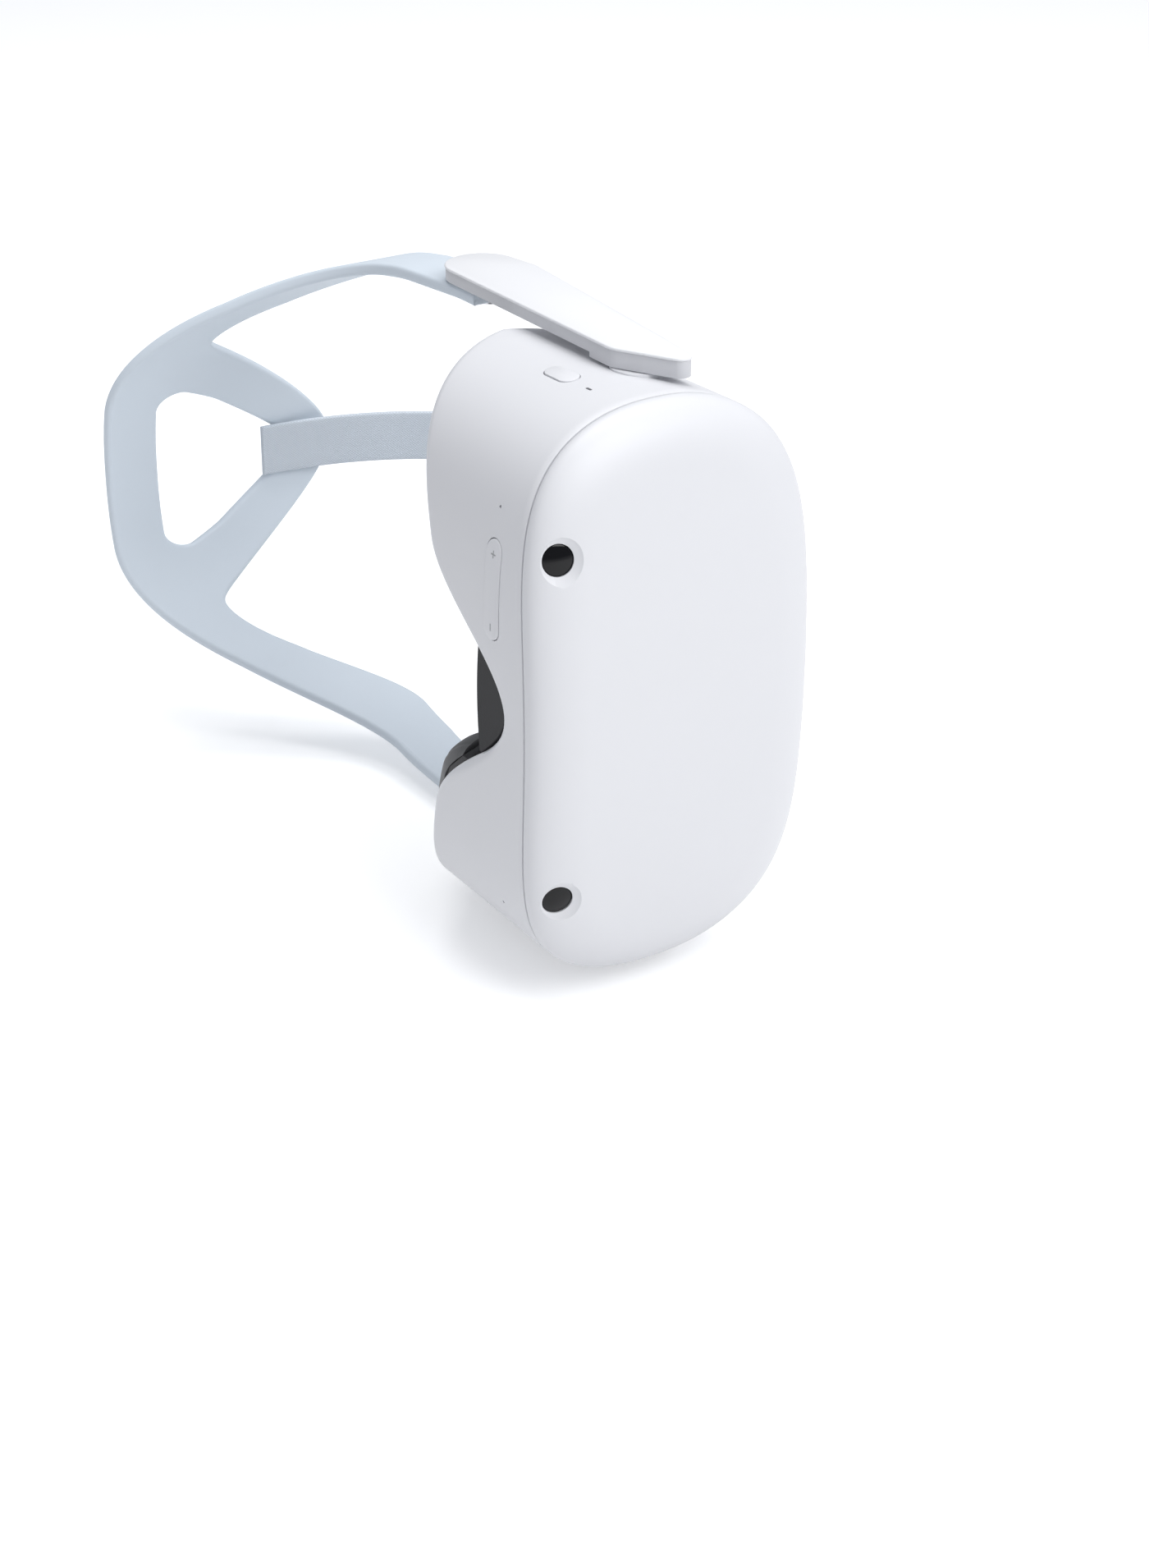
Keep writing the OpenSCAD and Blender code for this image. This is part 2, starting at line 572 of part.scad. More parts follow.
// ---- inner cover and face pad ----
cover_y = 38;
cover_plate = 1.6;
cover_inset = rim_round + wall + 3.4;
cover_post = [26, 61];
cover_post_r = 2.5;
module nose_arch(grow) hull() {
    translate([-14.5, 0]) circle(r = 5 + grow);
    for (s = [-1, 1]) translate([-33, s * 13.5]) circle(r = 3 + grow);
}
sensor_x = 12;
module lens_cover() headset() color([0.07, 0.07, 0.08]) difference() {
    union() {
        difference() {
            outline_solid(cover_inset, cover_y, cover_y + cover_plate);
            for (s = [-1, 1]) along_y(cover_y - 1, cover_y + cover_plate + 1) translate([0, s * eye_spacing / 2])
                slot(2 * (barrel_r + lens_travel + 1), 2 * (barrel_r + 1));
            along_y(cover_y - 1, cover_y + cover_plate + 1) nose_arch(0);
        }
        difference() {
            along_y(rear_y + display_t + 1, cover_y + cover_plate) nose_arch(1.3);
            along_y(rear_y + display_t + 2.3, cover_y + cover_plate + 1) nose_arch(0);
        }
        for (x = [-1, 1]) both_sides() translate([x * cover_post[0], 0, cover_post[1]]) rod_y(cover_post_r, rear_y, cover_y + 0.5);
    }
    along_y(0, cover_y + 5) translate([-a, -30]) square([a + nose_cut_x, 60]);
    translate([sensor_x, 0, 0]) rod_y(2.2, cover_y - 1, cover_y + cover_plate + 1);
}
module proximity_sensor() headset() color([0.02, 0.02, 0.02]) translate([sensor_x, 0, 0]) {
    rod_y(2.1, cover_y - 0.5, cover_y + cover_plate - 0.2);
    rod_y(3.2, cover_y - 2.5, cover_y - 0.1);
}
face_end = 19.5;
FACE_TURNS = [for (i = [0 : 60]) mix(face_end, 360 - face_end, i / 60)];
// A section point of the face pad: e in from the outline, d behind the rim
function face_point(t, e, d) = let(q = outline(t), p = outline(t, e)) [p[0], rim_y(q[0], q[1]) + d, p[1]];
face_in = rim_round + wall + 0.4;
face_skirt = 9;
face_seat = 2.5;
flange_w = 11.6;
module face_frame() headset() color([0.1, 0.1, 0.11]) strip_mesh([for (t = FACE_TURNS) [
    face_point(t, face_in, -face_skirt), face_point(t, face_in, face_seat),
    face_point(t, face_in + flange_w, face_seat), face_point(t, face_in + flange_w, face_seat - 2),
    face_point(t, face_in + 2, face_seat - 2), face_point(t, face_in + 2, -face_skirt)]]);
foam_w = 13;
foam_h = 8.5;
// Crowned section of the foam: full in the middle, drawn in at its two sides
FOAM = [for (i = [0 : 9]) let(q = 180 * i / 9)
    [foam_w / 2 * (1 - 0.96 * sign(cos(q)) * pow(abs(cos(q)), 0.6)), 0.5 + (foam_h - 0.5) * pow(sin(q), 0.55)]];
module face_foam() headset() color([0.16, 0.16, 0.17]) strip_mesh([for (i = [0 : 60])
    let(t = FACE_TURNS[i], g = min(1, sin(180 * i / 60) * 6))
    concat([face_point(t, face_in + 0.2, face_seat + 0.15)],
        [for (p = FOAM) face_point(t, face_in - 0.4 + p[0], face_seat + p[1] * mix(0.55, 1, g))],
        [face_point(t, face_in + foam_w - 1, face_seat + 0.15)])], true);
flap_w = 18;
flap_y = 31.5;
// The shell's rolled edge, which the flap's edge follows
function flap_edge(z) = rim_y(-a, z * 1.075) + 0.9;
module nose_flap() headset() color([0.13, 0.13, 0.14])
    translate([-(a - 4.6), 0, 0]) rotate([90, 0, 90]) linear_extrude(wall - 0.4) polygon(concat(
        [for (i = [-9 : 9]) let(z = flap_w * i / 9) [flap_edge(z), z]],
        [for (i = [9 : -1 : -9]) let(z = flap_w * i / 9)
            [max(flap_edge(z), mix(flap_y, flap_edge(flap_w), pow(i / 9, 2))) + 1, z]]));

// ---- buttons, light and sockets ----
function shell_e(x, y, z) = (y - seam_y(z)) / (rim_y(x, z) - rim_round - seam_y(z));
rocker_e = shell_e(-a, rocker_y, rocker_z);
rocker_in_x = -(a - 4);
rocker_ends = [rocker_z - rocker_len / 2 - 3, rocker_z + rocker_len / 2 + 3];
module volume_rocker() headset() color("white") intersection() {
    rocker_window(0);
    difference() {
        outline_solid(rocker_e - button_proud, rocker_y - rocker_w, rocker_y + rocker_w);
        box([rocker_in_x, 0, -b], [a + 9, 60, b]);
    }
}
switch_x = rocker_in_x + 2;
module volume_switches() headset() color([0.05, 0.3, 0.16]) {
    box([switch_x, rocker_y - 3, rocker_ends[0] - 1.5], [switch_x + 1, rocker_y + 3, rocker_ends[1] + 1.5]);
    for (z = [rocker_z - 9, rocker_z + 9]) box([rocker_in_x + 0.6, rocker_y - 2, z - 2], [switch_x, rocker_y + 2, z + 2]);
    for (z = rocker_ends) box([-outline_x(z, wall + 1.4), rocker_y - 2.5, z - 1.5], [switch_x, rocker_y + 2.5, z + 1.5]);
}
power_e = shell_e(power_x, power_y, b);
power_in_z = b - 5;
module power_button() headset() color("white") {
    intersection() {
        power_window(0);
        outline_solid(power_e - button_proud, power_y - power_len, power_y + power_len);
    }
    translate([power_x, power_y, power_in_z - 2]) cylinder(r = 1.6, h = 2.2);
}
power_ends = [power_y - power_len / 2 - 3, power_y + power_len / 2 + 3];
power_board_z = power_in_z - 2 - power_travel - fit - 2;
module power_switch() headset() color([0.05, 0.3, 0.16]) {
    box([power_x - 3, power_ends[0] - 1.5, power_board_z - 1], [power_x + 3, power_ends[1] + 1.5, power_board_z]);
    box([power_x - 2, power_y - 2, power_board_z - 0.1], [power_x + 2, power_y + 2, power_board_z + 2]);
    for (y = power_ends) box([power_x - 2.5, y - 1.5, power_board_z - 0.1],
        [power_x + 2.5, y + 1.5, outline_z(power_x - 2.5, wall + 1)]);
}
module status_light() headset() color([0.9, 0.95, 1]) intersection() {
    light_window(0);
    outline_solid(shell_e(light_x, light_y, b), light_y - 4, light_y + 4);
    translate([light_x, light_y, b - 3.5]) cylinder(r = 4, h = 9);
}
usb_depth = 7;
usb_z = -outline_z(usb_x, shell_e(usb_x, usb_y, b) + 0.3);
module usb_c_socket() headset() color([0.6, 0.6, 0.62]) translate([usb_x, usb_y, usb_z]) {
    difference() {
        linear_extrude(usb_depth + 1) slot(usb_len + 2 * usb_wall, usb_w + 2 * usb_wall);
        translate([0, 0, -1]) linear_extrude(usb_depth + 1) slot(usb_len, usb_w);
    }
    translate([-0.35, -usb_len / 2 + 1.2, 1]) cube([0.7, usb_len - 2.4, usb_depth]);
}
jack_z = -outline_z(jack_x, shell_e(jack_x, jack_y, b) + 0.3);
module headphone_socket() headset() color([0.08, 0.08, 0.09]) translate([jack_x, jack_y, jack_z]) difference() {
    cylinder(r = jack_r + jack_wall, h = jack_len + 1.5);
    translate([0, 0, -1]) cylinder(r = jack_r, h = jack_len + 1);
}
module microphones() headset() color([0.3, 0.3, 0.3]) for (m = MICS)
    translate([m[0] * (outline_x(abs(m[1]) + 1.6, wall + 0.45) - 0.05), m[2], m[1]]) rotate([0, -90 * m[0], 0]) cylinder(r = 1.6, h = 1.2);
anchor_y = 40;
anchor_len = 9;
anchor_w = crown_w + 6;
strap_x = a + 1.8;
module strap_anchor() headset() color([0.2, 0.2, 0.21]) difference() {
    box([a - 4.5, anchor_y - anchor_len / 2, -anchor_w / 2], [strap_x + crown_t / 2 + 1.8, anchor_y + anchor_len / 2, anchor_w / 2]);
    box([strap_x - crown_t / 2 - fit, anchor_y - anchor_len, -crown_w / 2 - fit],
        [strap_x + crown_t / 2 + fit, anchor_y + anchor_len, crown_w / 2 + fit]);
}

// ---- arms ----
pin_head_r = 6;
pin_head_t = 1.4;
boss_end_y = 46;
boss_z = pedestal_z + fit;
head_z = cover_in_z - pin_head_t - 0.4;
stud_r = 2;
stud_head_r = 4;
stud_head_t = 1.1;
stud_in = 5.5;
stud_gap = 0.05;
slot_t = 1;
speaker_lo = [8, 58];
speaker_hi = [19, 82];
module arm_shape(grow) hull() {
    translate([pivot_x + 2.8, pivot_y - 14.7]) circle(r = 3.2 + grow);
    translate([pivot_x - 0.6, pivot_y + 4]) circle(r = 9 + grow);
    translate([pivot_x + 3.3, arm_rear_y - 11.5]) circle(r = 11.5 + grow);
    translate([pivot_x + 8.4, arm_rear_y - 21.8]) circle(r = 8 + grow);
}
module travel_slot(r) translate([stud_pos[0], stud_pos[1] + strap_travel / 4]) slot(1.5 * strap_travel + 2 * r, 2 * r);
module arm_body() headset() color("white") difference() {
    union() {
        translate([0, 0, arm_in_z]) linear_extrude(cover_in_z - arm_in_z) arm_shape(0);
        translate([0, 0, boss_z]) linear_extrude(arm_in_z - boss_z) intersection() {
            arm_shape(0);
            translate([-40, -40]) square([99, boss_end_y + 40]);
        }
    }
    translate([pivot_x, pivot_y, boss_z - 1]) cylinder(r = pin_r + pin_gap, h = 20);
    translate([pivot_x, pivot_y, head_z - 0.1]) cylinder(r = pin_head_r + fit, h = 20);
    translate([0, 0, arm_in_z - 1]) linear_extrude(1 + slot_t) travel_slot(stud_r + fit);
    translate([0, 0, arm_in_z + slot_t]) linear_extrude(stud_head_t + 2 * fit) travel_slot(stud_head_r + fit);
    box([speaker_lo[0] - 0.1, speaker_lo[1] - 0.1, arm_in_z + 0.9], [speaker_hi[0] + 0.1, speaker_hi[1] + 0.1, cover_in_z + 1]);
    for (i = [0 : 5]) translate([(speaker_lo[0] + speaker_hi[0]) / 2, speaker_lo[1] + 4.5 + 3 * i, arm_in_z - 1])
        linear_extrude(3) rotate(90) slot(6, 1.2);
}
module arm_cover() headset() color("white") translate([0, 0, cover_in_z]) linear_extrude(cover_t) arm_shape(fit);
module arm_speaker() headset() color([0.1, 0.1, 0.1])
    box([speaker_lo[0], speaker_lo[1], arm_in_z + 0.9], [speaker_hi[0], speaker_hi[1], cover_in_z]);
module pivot_pin() headset() color([0.7, 0.7, 0.72]) translate([pivot_x, pivot_y, 0]) {
    translate([0, 0, pedestal_in_z - 1.5]) cylinder(r = pin_r + 2, h = 1.5);
    translate([0, 0, pedestal_in_z - 1.5]) cylinder(r = pin_r, h = head_z - pedestal_in_z + 2);
    translate([0, 0, head_z]) cylinder(r = pin_head_r, h = pin_head_t);
}
// The left pieces are the right ones mirrored in the headset's middle plane, z = half the width
module left() translate([0, 0, arms_w]) mirror([0, 0, 1]) children();
module arm_right() arm_body();
module arm_left() left() arm_body();
module arm_cover_right() arm_cover();
module arm_cover_left() left() arm_cover();
module speaker_right() arm_speaker();
module speaker_left() left() arm_speaker();
module pivot_pin_right() pivot_pin();
module pivot_pin_left() left() pivot_pin();

// ---- head band: a curve seen from above, unrolled into a length s either side of the rear ----
band_power = 2.35;
band_ear_y = 120;
tab_z = arm_in_z - fit;
band_side_y = 150;
// Round sides that run into a squarer rear
function band_plan(i) =
    let(y = band_ear_y + (band_rear_y - band_ear_y) * pow(cos(i), 2 / band_power),
        u = max(0, y - band_side_y) / (band_rear_y - band_side_y))
    [y, band_half_w * max(pow(sin(i), 2 / band_power), sqrt(max(0, 1 - u * u)))];
PLAN = concat([for (i = [0 : 90]) band_plan(i)], [for (i = [1 : 12]) [band_ear_y - i, band_half_w]]);
function flared(p) = [p[0], p[1] + (tab_z - band_half_w) * min(1, max(0, (166 - p[0]) / 44))];
TRACK = [for (p = PLAN) flared(p)];
RUN = [for (i = 0, s = 0; i < len(TRACK); i = i + 1, s = s + (i < len(TRACK) ? norm(TRACK[i] - TRACK[i - 1]) : 0)) s];
TRACK_Y = [for (i = [0 : len(RUN) - 1]) [RUN[i], TRACK[i][0]]];
TRACK_Z = [for (i = [0 : len(RUN) - 1]) [RUN[i], TRACK[i][1]]];
function track(s) = [lookup(abs(s), TRACK_Y), (s < 0 ? -1 : 1) * lookup(abs(s), TRACK_Z)];
function track_in(s) = let(d = track(s + 1.5) - track(s - 1.5)) [-d[1], d[0]] / norm(d);
// A point of the band: along s, at height x, d in from the outer face
function band_point(s, x, d) = let(p = track(s) + d * track_in(s)) [x, p[0], p[1]];
tab_low_x = 5.3;
tab_high_x = 24;
stud_pos = [(tab_low_x + tab_high_x) / 2, lookup(band_len - stud_in, TRACK_Y)];
crotch_x = -27;
loop_top_x = 28;
hole_low_x = -40.2;
hole_top_x = 12;
hole_half = 29.5;
hole_round = 6.5;
hole_mid_x = -31.5;
leg_slope = 1.5;
function band_low(s) = mix(band_low_x, tab_low_x, smooth((s - 25) / 110));
function side_top(s) = mix(crotch_x, tab_high_x + 3, smooth((s - 46) / 72)) - 3 * smooth((s - 130) / 50);
function leg_top(s) = loop_top_x - leg_slope * (norm([s, 20]) - 20);
function band_top(s) = let(u = side_top(s), v = leg_top(s)) (u + v + norm([u - v, 4])) / 2;
function hole_full(s) = s < hole_half - hole_round ? 1
    : sqrt(max(0, 1 - pow((s - hole_half + hole_round) / hole_round, 2)));
function hole_low(s) = mix(hole_mid_x, hole_low_x, hole_full(s));
function hole_top(s) = mix(hole_mid_x, hole_top_x - (leg_slope + 0.05) * (norm([s, 5]) - 5), hole_full(s));
function band_middle(s) = mix(hole_mid_x, mix(band_low(s), band_top(s), 0.5), smooth((s - hole_half) / 20));
HALF_STATIONS = concat(
    [for (s = [4 : 4 : 20]) s], [23, 25, 26.5, 27.8, 28.7, 29.3, hole_half], [for (s = [32 : 3 : 44]) s],
    [for (s = [46 : 1.5 : 56.5]) s], [for (s = [60 : 5 : 130]) s], [for (s = [136 : 6 : 178]) s],
    [for (i = [0 : 3]) mix(180, band_len, i / 3)]
);
STATIONS = concat([for (i = [len(HALF_STATIONS) - 1 : -1 : 0]) -HALF_STATIONS[i]], [0], HALF_STATIONS);
module head_band() headset() color([0.8, 0.85, 0.9]) difference() {
    n = len(STATIONS);
    open = [for (s = STATIONS) abs(s) < hole_half - 0.01];
    points = [for (s = STATIONS) let(q = abs(s), inside = q < hole_half + 0.01,
        m = inside ? hole_low(q) : band_middle(q), m2 = inside ? hole_top(q) : m)
        each [for (d = [0, band_t]) each [for (x = [band_low(q), m, m2, band_top(q)]) band_point(s, x, d)]]];
    // Corners of station i: c is 0 low, 1 and 2 either side of the hole, 3 top; f is 0 outer, 1 inner
    faces = [for (i = [0 : n - 2]) let(j = i + 1,
        A = [for (f = [0, 1]) [for (c = [0 : 3]) i * 8 + f * 4 + (c == 2 && !open[i] ? 1 : c)]],
        B = [for (f = [0, 1]) [for (c = [0 : 3]) j * 8 + f * 4 + (c == 2 && !open[j] ? 1 : c)]])
        each concat(
            [for (c = [0, 2]) each [[A[0][c], A[0][c + 1], B[0][c + 1]], [A[0][c], B[0][c + 1], B[0][c]]]],
            [for (c = [0, 2]) each [[A[1][c], B[1][c + 1], A[1][c + 1]], [A[1][c], B[1][c], B[1][c + 1]]]],
            [[A[0][0], B[0][0], B[1][0]], [A[0][0], B[1][0], A[1][0]]],
            [[A[0][3], B[1][3], B[0][3]], [A[0][3], A[1][3], B[1][3]]],
            open[i] || open[j] ? [
                [A[0][1], B[1][1], B[0][1]], [A[0][1], A[1][1], B[1][1]],
                [A[0][2], B[0][2], B[1][2]], [A[0][2], B[1][2], A[1][2]]] : []
        )];
    last = (n - 1) * 8;
    ends = [[0, 5, 1], [0, 4, 5], [1, 5, 7], [1, 7, 3],
        [last, last + 1, last + 5], [last, last + 5, last + 4], [last + 1, last + 7, last + 5], [last + 1, last + 3, last + 7]];
    polyhedron(points, concat(faces, ends));
    both_sides() translate([stud_pos[0], stud_pos[1], 0]) cylinder(r = stud_r, h = arm_out_z);
}
module strap_studs() headset() color([0.7, 0.7, 0.72]) both_sides() translate([stud_pos[0], stud_pos[1], 0]) {
    translate([0, 0, tab_z - band_t - 1]) cylinder(r = stud_head_r, h = 1 - stud_gap);
    translate([0, 0, tab_z - band_t - 1]) cylinder(r = stud_r, h = band_t + 1 + fit + slot_t + fit + 0.2);
    translate([0, 0, arm_in_z + slot_t + fit]) cylinder(r = stud_head_r, h = stud_head_t);
}
pad_t = 0.6;
module grip_pad() headset() color([0.45, 0.48, 0.52]) rotate([90, 0, 90]) translate([0, 0, 1]) linear_extrude(13)
    polygon(concat([for (s = [-8 : 2 : 8]) track(s) + (band_t + 0.02) * track_in(s)],
        [for (s = [8 : -2 : -8]) track(s) + (band_t + pad_t) * track_in(s)]));

// ---- crown strap: two smooth curves over the head, down to the visor's loop ----
function bezier(p, t) = let(u = 1 - t)
    u * u * u * p[0] + 3 * u * u * t * p[1] + 3 * u * t * t * p[2] + t * t * t * p[3];
crown_end_y = band_rear_y - band_t - 1.7;
crown_peak = [96, 160];
CROWN = concat(
    [for (i = [0 : 13]) bezier([[-0.3, crown_end_y], [40, crown_end_y - 1], [88, 222], crown_peak], i / 14)],
    [for (i = [0 : 12]) bezier([crown_peak, [101, 121], [strap_x + 6, 84], [strap_x, anchor_y + 7]], i / 12)],
    [[strap_x, anchor_y - 9]]
);
function side_of(p, i) = let(d = p[min(i + 1, len(p) - 1)] - p[max(i - 1, 0)]) [-d[1], d[0]] / norm(d);
module crown_strap() headset() color([0.75, 0.79, 0.85]) linear_extrude(crown_w, center = true) polygon(concat(
    [for (i = [0 : len(CROWN) - 1]) CROWN[i] + crown_t / 2 * side_of(CROWN, i)],
    [for (i = [len(CROWN) - 1 : -1 : 0]) CROWN[i] - crown_t / 2 * side_of(CROWN, i)]));

front_plate();
shell_upper();
shell_lower();
inner_frame();
lens_cover();
face_frame();
face_foam();
nose_flap();
camera_lower_right();
camera_lower_left();
camera_upper_right();
camera_upper_left();
camera_seals();
camera_windows();
main_board();
heat_sink();
battery();
fan_housing();
fan_rotor();
display_panel();
lens_rails();
focus_pinion();
lens_barrel_right();
lens_barrel_left();
lens_right();
lens_left();
volume_rocker();
volume_switches();
power_button();
power_switch();
status_light();
usb_c_socket();
headphone_socket();
microphones();
proximity_sensor();
frame_screws();
strap_anchor();
hinge_base_right();
hinge_base_left();
pivot_pin_right();
pivot_pin_left();
arm_right();
arm_left();
arm_cover_right();
arm_cover_left();
speaker_right();
speaker_left();
head_band();
strap_studs();
grip_pad();
crown_strap();
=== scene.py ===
import bpy
import bmesh
import math
import json
import numpy as np
from mathutils import Vector, Matrix


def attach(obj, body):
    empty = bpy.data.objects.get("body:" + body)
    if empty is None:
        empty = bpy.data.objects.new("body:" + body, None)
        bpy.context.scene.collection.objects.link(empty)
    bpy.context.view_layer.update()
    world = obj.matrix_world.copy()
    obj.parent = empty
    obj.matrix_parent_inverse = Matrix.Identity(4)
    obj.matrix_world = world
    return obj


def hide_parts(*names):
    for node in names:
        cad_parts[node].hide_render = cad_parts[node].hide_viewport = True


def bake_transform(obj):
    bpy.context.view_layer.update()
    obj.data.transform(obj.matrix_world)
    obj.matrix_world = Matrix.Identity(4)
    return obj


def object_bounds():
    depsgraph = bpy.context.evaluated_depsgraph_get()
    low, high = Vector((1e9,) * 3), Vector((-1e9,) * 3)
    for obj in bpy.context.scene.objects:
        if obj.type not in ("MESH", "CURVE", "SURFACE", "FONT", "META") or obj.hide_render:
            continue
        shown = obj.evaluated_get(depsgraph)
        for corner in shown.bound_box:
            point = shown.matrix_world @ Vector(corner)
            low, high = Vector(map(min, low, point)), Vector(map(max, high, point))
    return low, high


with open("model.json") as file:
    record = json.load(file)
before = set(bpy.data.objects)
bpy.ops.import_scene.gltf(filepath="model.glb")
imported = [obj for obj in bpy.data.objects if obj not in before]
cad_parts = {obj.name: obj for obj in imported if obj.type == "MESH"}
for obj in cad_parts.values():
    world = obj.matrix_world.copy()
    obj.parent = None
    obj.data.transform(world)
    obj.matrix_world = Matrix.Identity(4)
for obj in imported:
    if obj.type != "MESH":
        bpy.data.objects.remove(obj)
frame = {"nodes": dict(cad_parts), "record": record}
cadBox = [list(corner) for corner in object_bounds()]
nodes = frame["nodes"]
print("frame loaded:", len(nodes), "nodes")

# The headset's own millimetres (X the wearer's up, Y to the back, Z the wearer's right) against the frame
hingeAxis = {"x": 13.2, "y": 33.0, "halfWidth": 95.75}


def inFrame(points):
    shift = np.array([-hingeAxis["x"], -hingeAxis["y"], hingeAxis["halfWidth"]])
    return (np.asarray(points, float) + shift) / 1000


# Materials
materials = {}
surface = {"coatRoughness": 0.08, "sheenRoughness": 0.5, "scatter": 0.002, "cloudScale": 22, "cloudDetail": 3,
           "glossSpread": 0.05, "sparkDetail": 2, "sparkDepth": 0.0001, "weaveDepth": 0.0002}


def newMaterial(name, color, roughness=0.5, metallic=0.0, mottle=0.03, grain=0.0, grainSize=0.4,
                specular=0.5, coat=0.0, sheen=0.0, transmission=0.0, subsurface=0.0):
    m = bpy.data.materials.new(name)
    m.use_nodes = True
    tree = m.node_tree
    bsdf = tree.nodes["Principled BSDF"]
    bsdf.inputs["Metallic"].default_value = metallic
    bsdf.inputs["Coat Weight"].default_value = coat
    bsdf.inputs["Specular IOR Level"].default_value = specular
    bsdf.inputs["Coat Roughness"].default_value = surface["coatRoughness"]
    bsdf.inputs["Sheen Weight"].default_value = sheen
    bsdf.inputs["Sheen Roughness"].default_value = surface["sheenRoughness"]
    bsdf.inputs["Transmission Weight"].default_value = transmission
    bsdf.inputs["Subsurface Weight"].default_value = subsurface
    bsdf.inputs["Subsurface Radius"].default_value = (surface["scatter"],) * 3
    bsdf.inputs["Subsurface Scale"].default_value = 1.0
    link = tree.links.new
    where = tree.nodes.new("ShaderNodeTexCoord")
    cloud = tree.nodes.new("ShaderNodeTexNoise")  # slow change of shade and gloss
    cloud.inputs["Scale"].default_value = surface["cloudScale"]
    cloud.inputs["Detail"].default_value = surface["cloudDetail"]
    link(where.outputs["Object"], cloud.inputs["Vector"])
    shade = tree.nodes.new("ShaderNodeMix")
    shade.data_type = "RGBA"
    shade.inputs["A"].default_value = tuple(c * (1 - mottle) for c in color) + (1,)
    shade.inputs["B"].default_value = tuple(min(1, c * (1 + mottle)) for c in color) + (1,)
    link(cloud.outputs["Fac"], shade.inputs["Factor"])
    link(shade.outputs["Result"], bsdf.inputs["Base Color"])
    gloss = tree.nodes.new("ShaderNodeMapRange")
    gloss.inputs["To Min"].default_value = max(0.02, roughness - surface["glossSpread"])
    gloss.inputs["To Max"].default_value = min(1, roughness + surface["glossSpread"])
    link(cloud.outputs["Fac"], gloss.inputs["Value"])
    link(gloss.outputs["Result"], bsdf.inputs["Roughness"])
    if grain:
        spark = tree.nodes.new("ShaderNodeTexNoise")  # the mould's fine spark texture
        spark.inputs["Scale"].default_value = 1000 / grainSize
        spark.inputs["Detail"].default_value = surface["sparkDetail"]
        link(where.outputs["Object"], spark.inputs["Vector"])
        bump = tree.nodes.new("ShaderNodeBump")
        bump.inputs["Strength"].default_value = grain
        bump.inputs["Distance"].default_value = surface["sparkDepth"]
        link(spark.outputs["Fac"], bump.inputs["Height"])
        link(bump.outputs["Normal"], bsdf.inputs["Normal"])
    materials[name] = m
    return m


def wovenMaterial(name, color, rib, strength=0.5, hollowShade=0.82):
    m = newMaterial(name, color, roughness=0.85, mottle=0.03, sheen=0.35)
    tree = m.node_tree
    bsdf = tree.nodes["Principled BSDF"]
    link = tree.links.new
    uv = tree.nodes.new("ShaderNodeUVMap")
    split = tree.nodes.new("ShaderNodeSeparateXYZ")
    link(uv.outputs["UV"], split.inputs["Vector"])
    waves = []
    for axis, step in (("X", rib[0]), ("Y", rib[1])):
        turn = tree.nodes.new("ShaderNodeMath")
        turn.operation = "MULTIPLY"
        turn.inputs[1].default_value = 2 * math.pi / step
        link(split.outputs[axis], turn.inputs[0])
        wave = tree.nodes.new("ShaderNodeMath")
        wave.operation = "SINE"
        link(turn.outputs[0], wave.inputs[0])
        waves.append(wave)
    weave = tree.nodes.new("ShaderNodeMath")  # over and under of the threads
    weave.operation = "MULTIPLY"
    link(waves[0].outputs[0], weave.inputs[0])
    link(waves[1].outputs[0], weave.inputs[1])
    height = tree.nodes.new("ShaderNodeMapRange")
    height.inputs["From Min"].default_value = -1
    link(weave.outputs[0], height.inputs["Value"])
    bump = tree.nodes.new("ShaderNodeBump")
    bump.inputs["Strength"].default_value = strength
    bump.inputs["Distance"].default_value = surface["weaveDepth"]
    link(height.outputs["Result"], bump.inputs["Height"])
    link(bump.outputs["Normal"], bsdf.inputs["Normal"])
    # painted shade: the weave's hollows are darkened to the hollowShade share of the colour, and its raised threads
    # keep the full colour
    hollowShadeMix = tree.nodes.new("ShaderNodeMix")
    hollowShadeMix.data_type = "RGBA"
    hollowShadeMix.inputs["A"].default_value = tuple(c * hollowShade for c in color) + (1,)
    hollowShadeMix.inputs["B"].default_value = tuple(color) + (1,)
    link(height.outputs["Result"], hollowShadeMix.inputs["Factor"])
    link(hollowShadeMix.outputs["Result"], bsdf.inputs["Base Color"])
    return m


